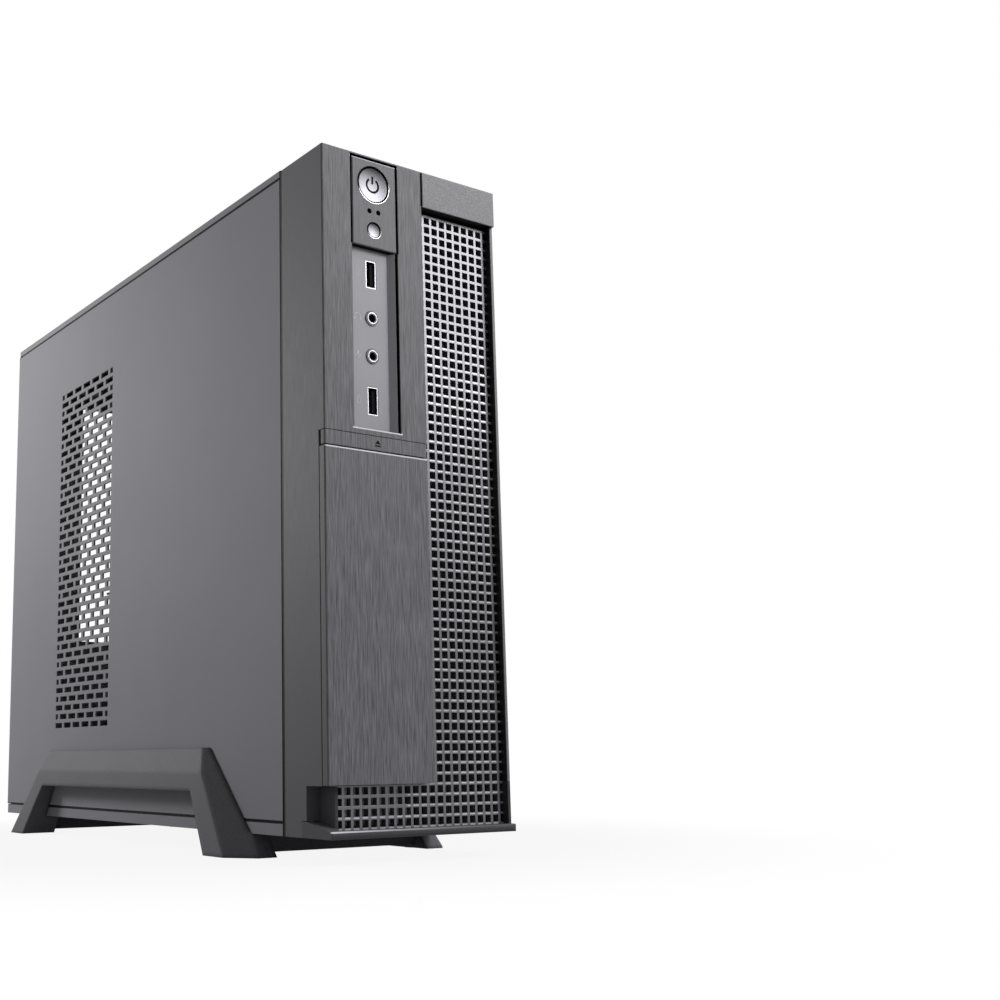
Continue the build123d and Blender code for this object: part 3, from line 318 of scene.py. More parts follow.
def brushed_finish(name, dark, light, side, gloss):
    """Plastic brushed upright in the front face and plain elsewhere, with painted shade and painted
    highlights.
    """
    made = Finish(name, specular_ior_level=0.2)
    across = made.place.axis("X")
    back = made.place.axis("Y")
    up = made.place.axis("Z")
    on_front = back.below(front_face + face_depth)
    in_span = across.between(slot_left, slot_right)
    in_slot = in_span * back.below(front_face + slot_depth) * (1 - on_front) * up.above(slot_low)
    by_cover = back.above(cover_front - cover_hairline)
    by_cap = across.above(split - cap_hairline) * up.above(cap_low)
    # Painted shade: the slot walls and the hairlines by the cover and the cap are near-black and fully
    # metallic, so they reflect nothing.
    shaded = (in_slot + by_cover + by_cap).held()
    broad = made.place.stretched(1.0, 1.0, 0.05).noise(1700, 3.0)
    fine = made.place.stretched(1.0, 1.0, 0.03).noise(4200, 2.0)
    lines = (broad * 0.6 + fine * 0.4 - 0.5) * line_contrast + 0.5
    cloud = made.place.noise(20, 2.0)
    front_tone = lines.held().colour(grey(dark), grey(light))
    side_tone = cloud.colour(grey(side - 4), grey(side + 4))
    # Painted highlights along the top of the door, the lower edge of the socket recess and the top of the
    # power panel.
    slot_highlights = (highlight_line(up, recess_low) + highlight_line(up, panel_top)) * in_span
    painted_highlight = (highlight_line(up, door_top) + slot_highlights).held() * on_front
    plain_tone = on_front.colour(side_tone, painted_highlight.colour(front_tone, grey(226)))
    made.wire("Base Color", shaded.colour(plain_tone, grey(12)))
    made.wire("Metallic", shaded)
    made.wire("Roughness", (1 - on_front) * 0.12 + lines.held() * 0.10 + gloss)
    fine_skin = made.place.noise(3000, 2.0)
    made.relief(on_front * lines + (1 - on_front) * fine_skin * 0.7, 0.000035, edge=0.0003)
    return made


brushed = brushed_finish("Brushed bezel plastic", dark=60, light=134, side=84, gloss=0.44)
dress(brushed, "bezel_shell", "drive_door", "eject_bar")

# %% [markdown]
# ## Cap and rail
# The cap over the mesh, the rail under it and the edge beside it are one moulding with a sandy spark
# finish that catches more light than the brushed half. Sand is a fine cell pattern: each cell gets its
# own tone and its own height in the relief. The mould is polished along the rail at the bottom, so that
# it goes on from the smooth side of the bezel. The rail's upper edge gets a painted highlight, and the
# inner faces round the mesh, the underside of the cap and the seam by the bezel get painted shade.

# %% Where the rail, the painted shade on the inner faces and the painted edge highlight lie
rail_top = at(0, 0, 22.0).z
rail_edge = (at(0, 0, 2.7).z, at(0, 0, 3.6).z)
rail_proud = 0.0011
cap_under = (at(0, 0, 283.6).z, at(0, 0, 284.5).z)
cap_seam = 0.0012
wall_face = (at(47.5, 0, 0).x, at(48.7, 0, 0).x)
wall_depth = 0.0006
fade_end = at(48.0, 0, 0).x
fade_per_metre = 10.4
print("rail ends", round((rail_top - underside) * 1000, 1), "mm up")

# %% Sandy plastic
sandy = Finish("Sandy cap plastic", specular_ior_level=0.35)
sand = sandy.place.cells(1500, output="Color").axis("X")
sand_soft = sandy.place.noise(900, 4.0)
frame_across = sandy.place.axis("X")
frame_back = sandy.place.axis("Y")
frame_up = sandy.place.axis("Z")
on_rail = frame_up.below(rail_top)
# Painted shade: the inner wall beside the mesh, the underside of the cap and the seam by the bezel are
# near-black.
in_wall = frame_across.between(*wall_face) * frame_up.below(cap_under[1])
under_cap = frame_up.between(*cap_under)
by_bezel = frame_across.below(split + cap_seam) * frame_up.above(cap_under[1])
frame_shade = ((in_wall + under_cap).held() * frame_back.above(front_face + wall_depth) + by_bezel).held()
# Painted highlight along the rail's upper front edge, bright at the left and fading to the right.
rail_highlight = frame_up.between(*rail_edge) * frame_back.below(front_face - rail_proud)
rail_highlight_fade = ((fade_end - frame_across) * fade_per_metre).held()
rail_highlight_tone = (rail_highlight_fade * rail_highlight_fade).colour(grey(76), grey(214))
sand_tone = (sand * 0.5 + sand_soft * 0.5).colour(grey(92), grey(126))
frame_tone = rail_highlight.colour(on_rail.colour(sand_tone, grey(56)), rail_highlight_tone)
sandy.wire("Base Color", frame_shade.colour(frame_tone, grey(10)))
sandy.wire("Roughness", sand * 0.15 * (1 - on_rail) + on_rail * 0.35 + 0.40)
sandy.relief((sand * 0.6 + sand_soft) * (1 - on_rail), 0.00008, edge=0.0006)
dress(sandy, "grille_frame")

# %% [markdown]
# ## Power panel, socket plate and buttons
# The power panel is a flat boss, brushed like the bezel but finer and paler, and its finish paints the
# same shade on its sides in the slot and a highlight along its top edge. The plate round the sockets
# lies a few millimetres back and is a pale, satin plastic. The buttons are plated and shallowly dished. A
# polished dish mirrors a room upside down, dark above and bright below. The room here is only a white
# table and plain light, so the finish paints that reflection over the dish itself, and leaves a rim of
# one tone round it.

# %% Panel and socket plate
panel_skin = brushed_finish("Brushed panel plastic", dark=80, light=122, side=82, gloss=0.40)
dress(panel_skin, "power_panel")

plate = Finish("Socket plate plastic", specular_ior_level=0.5)
plate_skin = plate.place.noise(2200, 3.0)
plate_haze = plate.place.noise(60, 2.0)
plate.wire("Base Color", (plate_skin * 0.5 + plate_haze * 0.5).colour(grey(128), grey(150)))
plate.wire("Roughness", plate_skin * 0.14 + 0.42)
plate.relief(plate_skin, 0.00003, edge=0.0003)
dress(plate, "io_plate")

# %% Buttons
dish_slope = 0.6
dish_grain = 0.3


def button_finish(name, button, rim):
    """Polished dish of a round button with a painted reflection, darker towards its top, and a rim of a
    width in metres.
    """
    made = Finish(name, metallic=1.0)
    low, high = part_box(button)
    radius = (high.x - low.x) / 2
    centre = (low + high) / 2
    aside = made.place.axis("X") - centre.x
    above = made.place.axis("Z") - centre.z
    on_rim = (aside * aside + above * above).above((radius - rim) ** 2)
    skin = made.place.noise(2200, 3.0)
    # Painted reflection: the dish is darker towards its top and lighter towards its bottom, broken by
    # grain.
    dish_reflection = (0.5 - above * (dish_slope / radius) + (skin - 0.5) * dish_grain).held()
    made.wire("Base Color", on_rim.colour(dish_reflection.colour(grey(30), grey(116)), grey(104)))
    made.wire("Roughness", skin * 0.14 + 0.26)
    made.relief(skin, 0.00003, edge=0.0003)
    return made


dress(button_finish("Power button plastic", "power_button", rim=0.0006), "power_button")
dress(button_finish("Reset button plastic", "reset_button", rim=0.0004), "reset_button")

# %% [markdown]
# ## Stand and rubber
# The cradle is a darker, fully matt moulding. Its coarse leather-like texture hides scuffs: cells for the
# pebbles, noise to keep them from looking regular. The rubber pads and feet are darker and duller still.

# %% Stand plastic and rubber
stand_skin = Finish("Pebbled stand plastic", specular_ior_level=0.12)
pebbles = stand_skin.place.cells(1100)
stand_cloud = stand_skin.place.noise(30, 3.0)
stand_skin.wire("Base Color", (pebbles * 0.5 + stand_cloud * 0.5).colour(grey(82), grey(108)))
stand_skin.wire("Roughness", pebbles * 0.15 + 0.56)
stand_skin.relief(pebbles, 0.00007, edge=0.003)
dress(stand_skin, "stand_cradle")

rubber = Finish("Foot rubber", specular_ior_level=0.25)
rubber_dust = rubber.place.noise(700, 4.0)
rubber.wire("Base Color", rubber_dust.colour(grey(18), grey(38)))
rubber.wire("Roughness", rubber_dust * 0.2 + 0.7)
rubber.relief(rubber_dust, 0.00005)
dress(rubber, "stand_pads", "side_feet")

# %% [markdown]
# ## Bare metals
# Inside and at the rear the sheet is zinc-plated: dull grey crystals, each tilted its own way, so each
# patch has its own gloss. The socket shells, screws and pin are bright nickel with faint drawing lines,
# and the rear sound socket beside those shells is green plastic. The cooler is extruded aluminium, and
# the drives are a cast and pressed grey metal, with a round stamping in the disc drive's lid.

# %% Zinc, nickel and aluminium
zinc = Finish("Zinc-plated sheet", metallic=0.85)
crystals = zinc.place.cells(420, output="Color").axis("X")
zinc_fine = zinc.place.noise(900, 3.0)
zinc.wire("Base Color", (crystals * 0.3 + zinc_fine * 0.7).colour(grey(160), grey(188)))
zinc.wire("Roughness", crystals * 0.08 + zinc_fine * 0.1 + 0.34)
zinc.relief(zinc_fine, 0.00002)
dress(zinc, "front_plate", "rear_panel", "slot_covers", "motherboard_tray", "drive_cage", "psu_case")


def drawn_metal(name, low, high, gloss, stretch, metal=1.0):
    """Metal with drawing lines along one axis."""
    made = Finish(name, metallic=metal)
    lines = made.place.stretched(*stretch).noise(3500, 3.0)
    tarnish = made.place.noise(120, 3.0)
    made.wire("Base Color", (lines * 0.6 + tarnish * 0.4).colour(grey(low), grey(high)))
    made.wire("Roughness", lines * 0.2 + gloss)
    made.relief(lines, 0.00001)
    return made


lines_back = (1.0, 0.05, 1.0)
no_lines = (1.0, 1.0, 1.0)
nickel = drawn_metal("Nickel plate", low=190, high=225, gloss=0.16, stretch=lines_back)
fins = drawn_metal("Extruded aluminium", low=178, high=214, gloss=0.26, stretch=(1.0, 0.02, 1.0))
casing = drawn_metal("Drive casing", low=120, high=156, gloss=0.36, stretch=(1.0, 0.04, 0.3), metal=0.8)
black_steel = drawn_metal("Black plated steel", low=34, high=60, gloss=0.3, stretch=no_lines, metal=0.6)
dull_nickel = drawn_metal("Dull nickel", low=140, high=166, gloss=0.26, stretch=lines_back)
dress(nickel, "motherboard_screws", "slot_screws", "door_hinge_pin", "cpu")
dress(dull_nickel, "front_usb_shells")
dress(fins, "heatsink")
dress(black_steel, "panel_thumbscrews")

# %% Drive casings with a round stamping
stamp_outer = 0.058
stamp_inner = 0.022
stamp_depth = 0.0008
stamp_slope = 400
drive_low, drive_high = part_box("optical_drive")
drive_middle = (drive_low + drive_high) / 2
lid_back = casing.place.axis("Y") - drive_middle.y
lid_up = casing.place.axis("Z") - drive_middle.z
lid_spread = lid_back * lid_back + lid_up * lid_up
lid_radius = lid_spread.sum("SQRT", lid_spread)
in_outer = ((stamp_outer - lid_radius) * stamp_slope).held()
in_inner = ((stamp_inner - lid_radius) * stamp_slope).held()
on_lid = casing.place.axis("X").below(0)
casing.relief((in_outer - in_inner) * on_lid, stamp_depth)
dress(casing, "optical_drive", "hard_drive")

# %% Rear socket shells and brass spacers
jack_height = 0.0121
jack_green = (0.05, 0.32, 0.06)
shells = drawn_metal("Socket shells", low=176, high=206, gloss=0.22, stretch=lines_back)
on_jack = shells.place.axis("Z").above(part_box("rear_ports")[1].z - jack_height)
shell_tone = shells.place.noise(120, 3.0).colour(grey(176), grey(206))
shells.wire("Base Color", on_jack.colour(shell_tone, jack_green))
shells.wire("Metallic", 1 - on_jack)
dress(shells, "rear_ports")

brass = drawn_metal("Brass spacers", low=150, high=190, gloss=0.25, stretch=(0.1, 1.0, 1.0))
brass_tone = brass.place.noise(300, 2.0).colour((0.42, 0.27, 0.09), (0.60, 0.42, 0.16))
brass.wire("Base Color", brass_tone)
dress(brass, "standoffs")

# %% [markdown]
# ## Black plastics and lamps
# Connectors, fans and the inlet are a plain black nylon with a soft gloss and flow marks. The tongues
# deep in the front data sockets are matt, so that they stay dark. The two lamps are clear rods that look
# nearly black when they are off.

# %% Nylon and lamp plastic
nylon = Finish("Black nylon", specular_ior_level=0.5)
flow = nylon.place.noise(220, 4.0)
nylon_skin = nylon.place.noise(2400, 2.0)
nylon.wire("Base Color", (flow * 0.6 + nylon_skin * 0.4).colour(grey(20), grey(42)))
nylon.wire("Roughness", flow * 0.15 + 0.34)
nylon.relief(nylon_skin, 0.00003)
dress(nylon, "front_audio_jacks", "button_switches", "cpu_socket", "cooler_fan_frame", "cooler_fan_rotor",
      "memory_slots", "card_connector", "psu_fan_frame", "psu_fan_rotor", "ac_inlet", "optical_tray")

tongue = Finish("Matt black plastic", specular_ior_level=0.04)
tongue_skin = tongue.place.noise(1600, 3.0)
tongue.wire("Base Color", tongue_skin.colour(grey(10), grey(40)))
tongue.wire("Roughness", tongue_skin * 0.2 + 0.6)
dress(tongue, "front_usb_tongues")

lamp = Finish("Lamp plastic", specular_ior_level=0.0)
lamp_depth = lamp.place.noise(800, 2.0)
lamp.wire("Base Color", lamp_depth.colour((0.001, 0.001, 0.002), (0.004, 0.004, 0.005)))
lamp.wire("Roughness", lamp_depth * 0.1 + 0.40)
dress(lamp, "led_pipes")

# %% [markdown]
# ## Circuit boards
# A board is copper under green lacquer: bundles of parallel tracks that run one way in one patch and the
# other way in the next, with pale dots where a track goes through. The patches are coarse cells, the
# tracks are a repeated ramp along each axis, and a cell's own random value picks the direction. The
# memory chips belong to the same solid as their board, so the finish tells them apart by how far they
# stand off it.

# %% Green lacquer with tracks
half_track = 0.0007
track_ramp = 1400


def board_finish(name, chips=None):
    """Lacquered board with tracks. chips is the first module's height, the pitch and where chips start."""
    made = Finish(name, specular_ior_level=0.5)
    patch = made.place.cells(55, output="Color").axis("X")
    up = made.place.axis("Z")
    back = made.place.axis("Y")
    along = up.sum("PINGPONG", up, half_track) * track_ramp
    across = back.sum("PINGPONG", back, half_track) * track_ramp
    turned = patch.above(0.5)
    track = (turned * along + (1 - turned) * across).above(0.55) * patch.above(0.18)
    dots = made.place.cells(160).below(0.22)
    green = track.colour((0.006, 0.050, 0.022), (0.012, 0.095, 0.042))
    tone = (dots * 0.7).colour(green, (0.45, 0.43, 0.36))
    height = track * 0.5 + dots
    if chips:
        first, pitch, start = chips
        over_first = up - (first - pitch / 2)
        stand_off = over_first.sum("FLOORED_MODULO", over_first, pitch) - pitch / 2
        on_chip = stand_off.above(start)
        tone = on_chip.colour(tone, grey(26))
        height = height * (1 - on_chip)
    made.wire("Base Color", tone)
    made.wire("Roughness", dots * 0.2 + 0.28)
    made.relief(height, 0.00004)
    return made


memory_low, memory_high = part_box("memory_slots")
memory_slot_width = 0.0065
memory_pitch = memory_high.z - memory_low.z - memory_slot_width
first_module = memory_low.z + memory_slot_width / 2
chip_foot = 0.0007
lacquer = board_finish("Green board lacquer")
module_lacquer = board_finish("Memory board lacquer", (first_module, memory_pitch, chip_foot))
dress(lacquer, "motherboard", "button_board", "front_io_board", "psu_core")
dress(module_lacquer, "memory_modules")

# %% [markdown]
# ## Putting a piece in
# A finished piece is a plain mesh at the origin with its place in its vertices. It rides on the body that
# carries it and takes one finish as its material. One helper does those things for every piece, so that
# no piece is left behind when its body moves.

# %% Helper that adds a piece
same_point = 1e-7


def add_piece(name, mesh, finish, body):
    """Link a mesh as a piece with one finish, riding on a body."""
    mesh.materials.clear()
    mesh.materials.append(finish.material)
    piece = bpy.data.objects.new(name, mesh)
    bpy.context.scene.collection.objects.link(piece)
    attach(piece, body)
    mesh.calc_loop_triangles()
    print(name, "has", len(mesh.loop_triangles), "triangles and rides on", body)
    return piece


def mesh_of(shape, name):
    """Close a bmesh into a mesh with its faces pointing outwards."""
    bmesh.ops.remove_doubles(shape, verts=shape.verts, dist=same_point)
    bmesh.ops.recalc_face_normals(shape, faces=shape.faces)
    mesh = bpy.data.meshes.new(name)
    shape.to_mesh(mesh)
    shape.free()
    return mesh


print("points nearer than", same_point, "m are one point")

# %% [markdown]
# ## Starting, ending and running a tree
# Geometry Nodes make what repeats. A tree starts with named inputs for its sizes and finish, and ends by
# turning its instances into real faces and giving them that finish. To run it, a modifier on a carrier,
# which is empty or holds points to start from, takes the sizes. Each is stored under its socket's
# identifier, so the helper looks that up by name. The evaluated object is turned into a plain mesh
# straight away and the carrier is removed, because the export keeps meshes only.

# %% Helpers for trees
def start_tree(name, sockets):
    """A Geometry Nodes tree with named inputs, and a wire from each of them."""
    tree = bpy.data.node_groups.new(name, "GeometryNodeTree")
    for label, kind in sockets.items():
        tree.interface.new_socket(label, in_out="INPUT", socket_type="NodeSocket" + kind)
    tree.interface.new_socket("Geometry", in_out="OUTPUT", socket_type="NodeSocketGeometry")
    entry = tree.nodes.new("NodeGroupInput")
    return tree, {label: Wire(tree, entry.outputs[label]) for label in sockets}


def end_tree(tree, shape, finish):
    """Make what a tree holds real, give it its finish and lead it out."""
    real = shape.node("GeometryNodeRealizeInstances", {}, {"Geometry": shape})
    finished = shape.node("GeometryNodeSetMaterial", {}, {"Geometry": real, "Material": finish})
    leave = tree.nodes.new("NodeGroupOutput")
    tree.links.new(finished.socket, leave.inputs[0])
    print(tree.name, "has", len(tree.nodes), "nodes")


def plain_mesh(carrier):
    """What an object's modifiers make, as a mesh of its own. The object is removed."""
    bpy.context.scene.collection.objects.link(carrier)
    settled = carrier.evaluated_get(bpy.context.evaluated_depsgraph_get())
    mesh = bpy.data.meshes.new_from_object(settled)
    bpy.data.objects.remove(carrier)
    return mesh


def run_tree(tree, start_mesh=None, **values):
    """The mesh that a Geometry Nodes tree makes with these inputs."""
    carrier = bpy.data.objects.new("Carrier", start_mesh or bpy.data.meshes.new("Carrier"))
    modifier = carrier.modifiers.new("Tree", "NODES")
    modifier.node_group = tree
    for item in tree.interface.items_tree:
        key = item.name.replace(" ", "_").lower()
        if item.in_out == "INPUT" and key in values:
            modifier[item.identifier] = values[key]
    return plain_mesh(carrier)


print("a tree is run on a carrier that is then removed")

# %% [markdown]
# ## The square mesh
# The grille is one injection moulding: a flat lattice of square holes, every hole the same. The solids
# hold it as crossed bars, which is enough to drop things on, but it shows a step where the bars cross.
# Here a Geometry Nodes tree makes it as the mould does. A grid has every face shrunk in its own place,
# the shrunk middles are deleted, and what stays is pushed out to its depth with a turned copy as its
# back. The outermost points move on to the frame.

# %% Tree for a lattice
def lattice_tree():
    """Geometry Nodes tree of a flat square lattice that faces the front."""
    sizes = ("Pitch", "Bar", "Depth", "Left Rim", "Right Rim", "Lower Rim", "Upper Rim")
    sockets = {"Columns": "Int", "Rows": "Int", **{size: "Float" for size in sizes}, "Finish": "Material"}
    tree, given = start_tree("Square lattice", sockets)
    pitch = given["Pitch"]
    wide = given["Columns"] * pitch
    tall = given["Rows"] * pitch
    grid = pitch.node("GeometryNodeMeshGrid", {}, {
        "Size X": wide, "Size Y": tall,
        "Vertices X": given["Columns"] + 1, "Vertices Y": given["Rows"] + 1})
    upright = pitch.node("GeometryNodeTransform", {}, {"Geometry": grid, "Rotation": (math.pi / 2, 0, 0)})
    inset = pitch.node("GeometryNodeExtrudeMesh", {"mode": "FACES"}, {
        "Mesh": upright, "Offset Scale": 0.0, "Individual": True})
    middle = Wire(tree, inset.socket.node.outputs["Top"])
    share = pitch.sum("DIVIDE", pitch - given["Bar"], pitch)
    shrunk = pitch.node("GeometryNodeScaleElements", {}, {
        "Geometry": inset, "Selection": middle, "Scale": share})
    opened = pitch.node("GeometryNodeDeleteGeometry", {"domain": "FACE"}, {
        "Geometry": shrunk, "Selection": middle})
    spot = pitch.node("GeometryNodeInputPosition")
    hair = 1e-5
    outwards = (spot.axis("X").above(wide * 0.5 - hair) * given["Right Rim"]
                - spot.axis("X").below(wide * -0.5 + hair) * given["Left Rim"])
    upwards = (spot.axis("Z").above(tall * 0.5 - hair) * given["Upper Rim"]
               - spot.axis("Z").below(tall * -0.5 + hair) * given["Lower Rim"])
    move = pitch.node("ShaderNodeCombineXYZ", {}, {"X": outwards, "Z": upwards})
    sheet = pitch.node("GeometryNodeSetPosition", {}, {"Geometry": opened, "Offset": move})
    front = pitch.node("GeometryNodeExtrudeMesh", {"mode": "FACES"}, {
        "Mesh": sheet, "Offset Scale": given["Depth"], "Individual": False})
    back = pitch.node("GeometryNodeFlipFaces", {}, {"Mesh": sheet})
    join = tree.nodes.new("GeometryNodeJoinGeometry")
    tree.links.new(front.socket, join.inputs[0])
    tree.links.new(back.socket, join.inputs[0])
    closed = pitch.node("GeometryNodeMergeByDistance", {}, {
        "Geometry": Wire(tree, join.outputs[0]), "Distance": hair})
    end_tree(tree, closed, given["Finish"])
    return tree


mesh_tree = lattice_tree()

# %% [markdown]
# ## Two lattices, one moulding
# The mesh fills the right half from the rail to the cap, and its lowest four rows run on under the drive
# door to the left. Two lattices that meet edge to edge make that L, and the cross bars run on to the wall
# at the right. A Bevel modifier then takes the sharp edges off the bars: this hairline of slope catches
# the lamps against the dark holes, and the finish adds a painted highlight, a bright dash on the cross
# bars between the holes.

# %% Sizes of the mesh
pitch = 4.5
bar = 1.35
mesh_front = 4.55
mesh_depth = 3.0
first_upright = 5.4
first_row = 3.4
low_rows = 4
low_columns = 11
field_rows = 58
field_columns = 9
holes = field_columns * field_rows + (low_columns + field_columns) * low_rows
print("mesh has", holes, "holes,", pitch, "mm apart")

# %% Mesh finish with painted highlights
dash_under = 0.0001
dash_over = 0.0004
dash_half = 0.0014
glint_top = at(0, 0, 236.0).z
glint_fade_per_metre = 25
door_shade = at(-6.0, 0, 0).x
lit_rows = at(0, 0, first_row + 1.5 * pitch).z
glint = Finish("Mesh plastic", specular_ior_level=0.5, metallic=0.5)
glint_skin = glint.place.noise(1500, 3.0)
bar_step = pitch / 1000
mesh_across = glint.place.axis("X")
mesh_up = glint.place.axis("Z")
over_bar = mesh_up - (at(0, 0, first_row).z - bar_step / 2)
past_bar = mesh_across - at(first_upright, 0, 0).x
from_bar = over_bar.sum("FLOORED_MODULO", over_bar, bar_step) - bar_step / 2
from_hole = past_bar.sum("FLOORED_MODULO", past_bar, bar_step) - bar_step / 2
# Painted highlight: a bright dash on each cross bar between the holes, fading out towards the top and in
# patches, and left out on the band's upper rows at the left, where the door shades them.
glint_dash = from_bar.between(-dash_under, dash_over) * from_hole.between(-dash_half, dash_half)
glint_fade = ((glint_top - mesh_up) * glint_fade_per_metre).held() * (glint.place.noise(45, 2.0) * 1.6 - 0.1).held()
lit = (mesh_across.above(door_shade) + mesh_up.below(lit_rows)).held()
bar_tone = glint_skin.colour(grey(96), grey(112))
glint.wire("Base Color", (glint_dash * glint_fade * lit * 0.9).colour(bar_tone, grey(216)))
glint.wire("Roughness", glint_skin * 0.10 + 0.28)
glint.relief(glint_skin, 0.00002)
print(glint.material.name, "has", len(glint.tree.nodes), "nodes")

# %% Two lattices
half_bar = bar / 2
band_left = first_upright - low_columns * pitch
field_low = first_row + low_rows * pitch


def lattice(left, low, columns, rows, **rims):
    """A lattice with its lower left bar crossing at a place in millimetres, as a mesh in the frame."""
    rims = {name: rim / 1000 for name, rim in rims.items()}
    made = run_tree(mesh_tree, columns=columns, rows=rows, pitch=pitch / 1000, bar=bar / 1000,
                    depth=mesh_depth / 1000, finish=glint.material, **rims)
    middle = at(left + columns * pitch / 2, mesh_front + mesh_depth, low + rows * pitch / 2)
    made.transform(Matrix.Translation(middle))
    return made


band = lattice(band_left, first_row, low_columns + field_columns, low_rows,
               left_rim=-0.5, right_rim=half_bar, lower_rim=0.65, upper_rim=0.0)
field = lattice(first_upright, field_low, field_columns, field_rows,
                left_rim=-0.3, right_rim=half_bar, lower_rim=0.0, upper_rim=half_bar)
bars = bmesh.new()
bars.from_mesh(band)
bars.from_mesh(field)
print("lattices have", len(bars.faces), "faces")

# %% Bar ends, softened edges and the piece
wall_side = 48.4
end_inset = (0.2, 0.1)
bar_round = 0.00036
sharp_angle = 50
last_upright = first_upright + field_columns * pitch
end_size = Matrix.Diagonal(((wall_side - last_upright) / 1000, (mesh_depth - end_inset[0]) / 1000,
                            (bar - end_inset[1]) / 1000, 1))
for row in range(low_rows + field_rows + 1):
    end = at((last_upright + wall_side) / 2, mesh_front + mesh_depth / 2, first_row + row * pitch)
    bmesh.ops.create_cube(bars, size=1.0, matrix=Matrix.Translation(end) @ end_size)
bars_carrier = bpy.data.objects.new("bars", mesh_of(bars, "bars"))
soften = bars_carrier.modifiers.new("Soften", "BEVEL")
soften.width = bar_round
soften.segments = 2
soften.limit_method = "ANGLE"
soften.angle_limit = math.radians(sharp_angle)
square_mesh = add_piece("square_mesh", plain_mesh(bars_carrier), glint, "tower")
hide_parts("mesh_grille")

# %% [markdown]
# ## Signs on the controls
# The power sign is a ring with a gap and a bar, the eject sign a triangle over a bar, and each socket has
# a small picture beside it. On the real case they are pressed or printed a few hundredths of a millimetre
# proud. They could be painted in a shader, but as thin solids they keep crisp edges at any size. A stroke
# is a ribbon along a line, and a surface function puts every point on what carries it, flat or dished.

# %% Ribbons and filled shapes on a surface
sign_proud = 0.00004
sign_sunk = 0.00012


def add_stroke(shape, line, width, surface, closed=False):
    """A ribbon of one width along a line of places in the sign's own plane, in millimetres."""
    points = [Vector(point) for point in line]
    count = len(points)
    rows = []
    for index, point in enumerate(points):
        before = points[index - 1] if closed or index else point
        after = points[(index + 1) % count] if closed or index < count - 1 else point
        along = (after - before).normalized()
        aside = Vector((-along.y, along.x)) * width / 2
        corners = [(point + aside, sign_proud), (point - aside, sign_proud),
                   (point - aside, -sign_sunk), (point + aside, -sign_sunk)]
        rows.append([shape.verts.new(surface(place, lift)) for place, lift in corners])
    for index in range(count if closed else count - 1):
        here, there = rows[index], rows[(index + 1) % count]
        for side in range(4):
            shape.faces.new([here[side], here[(side + 1) % 4], there[(side + 1) % 4], there[side]])
    if not closed:
        shape.faces.new(rows[0])
        shape.faces.new(rows[-1])


def add_filled(shape, outline, surface):
    """A filled outline in the sign's own plane, in millimetres."""
    upper = [shape.verts.new(surface(Vector(point), sign_proud)) for point in outline]
    lower = [shape.verts.new(surface(Vector(point), -sign_sunk)) for point in outline]
    shape.faces.new(upper)
    shape.faces.new(lower)
    for index in range(len(outline)):
        after = (index + 1) % len(outline)
        shape.faces.new([upper[index], upper[after], lower[after], lower[index]])


def arc(radius, start, end, steps, centre=(0.0, 0.0)):
    """Places on an arc, with angles in degrees from the right."""
    turns = [math.radians(start + (end - start) * step / steps) for step in range(steps + 1)]
    return [(centre[0] + radius * math.cos(turn), centre[1] + radius * math.sin(turn)) for turn in turns]


def flat_surface(across, back, up):
    """A surface function for a plane that faces the front, with its middle at a place in millimetres."""
    middle = at(across, back, up)
    return lambda place, lift: middle + Vector((place.x / 1000, -lift, place.y / 1000))


print("signs stand", sign_proud * 1000, "mm proud")

# %% [markdown]
# ## Power sign in its dish
# The power button is dished like a shallow lens, so a flat sign would float at the rim or sink in the
# middle. Its surface function follows the dish: deepest in the middle and rising with the square of the
# distance from it.

# %% Power sign
control_line = -21.8
power_up = 288.0
dish_rim = 7.9
dish_depth = 0.6
button_back = 0.2
ring_radius = 3.2
ring_start = 125
ring_end = 415
power_stroke = 1.05
power_bar = [(0, 0.7 + step * 0.4) for step in range(10)]
dark_sign = Finish("Dark sign ink", specular_ior_level=0.04)
ink = dark_sign.place.noise(3000, 3.0)
dark_sign.wire("Base Color", ink.colour(grey(6), grey(22)))
dark_sign.wire("Roughness", ink * 0.2 + 0.5)


def dish_surface(place, lift):
    """The dished face of the power button."""
    share = place.length / dish_rim
    depth = button_back + dish_depth * (1 - share * share)
    return at(control_line + place.x, depth, power_up + place.y) + Vector((0, -lift, 0))


power_shape = bmesh.new()
add_stroke(power_shape, arc(ring_radius, ring_start, ring_end, 40), power_stroke, dish_surface)
add_stroke(power_shape, power_bar, power_stroke, dish_surface)
add_piece("power_sign", mesh_of(power_shape, "power_sign"), dark_sign, "power")

# %% [markdown]
# ## Shade rings, lips and beads
# A near-black ring of painted shade stands for the dark gap round the power button, with a polished lip
# around it, a smaller pair rings the reset button and a bead runs round the bore of each audio jack. Each
# is a half-round section turned about its axis. A torus would do from afar, but half of it would be
# buried, so only the section that shows is turned, closed by a flat foot in what carries it. The shade
# rings are the same near-black plastic as the lamps. A lip is lit along its lower right and shaded along
# its top, and its finish paints that light and shade.

# %% Helper for a ring
bead_metal = drawn_metal("Polished bead", low=150, high=185, gloss=0.18, stretch=no_lines, metal=0.9)
ring_steps = 72
section_step = 30
ring_foot = 0.3


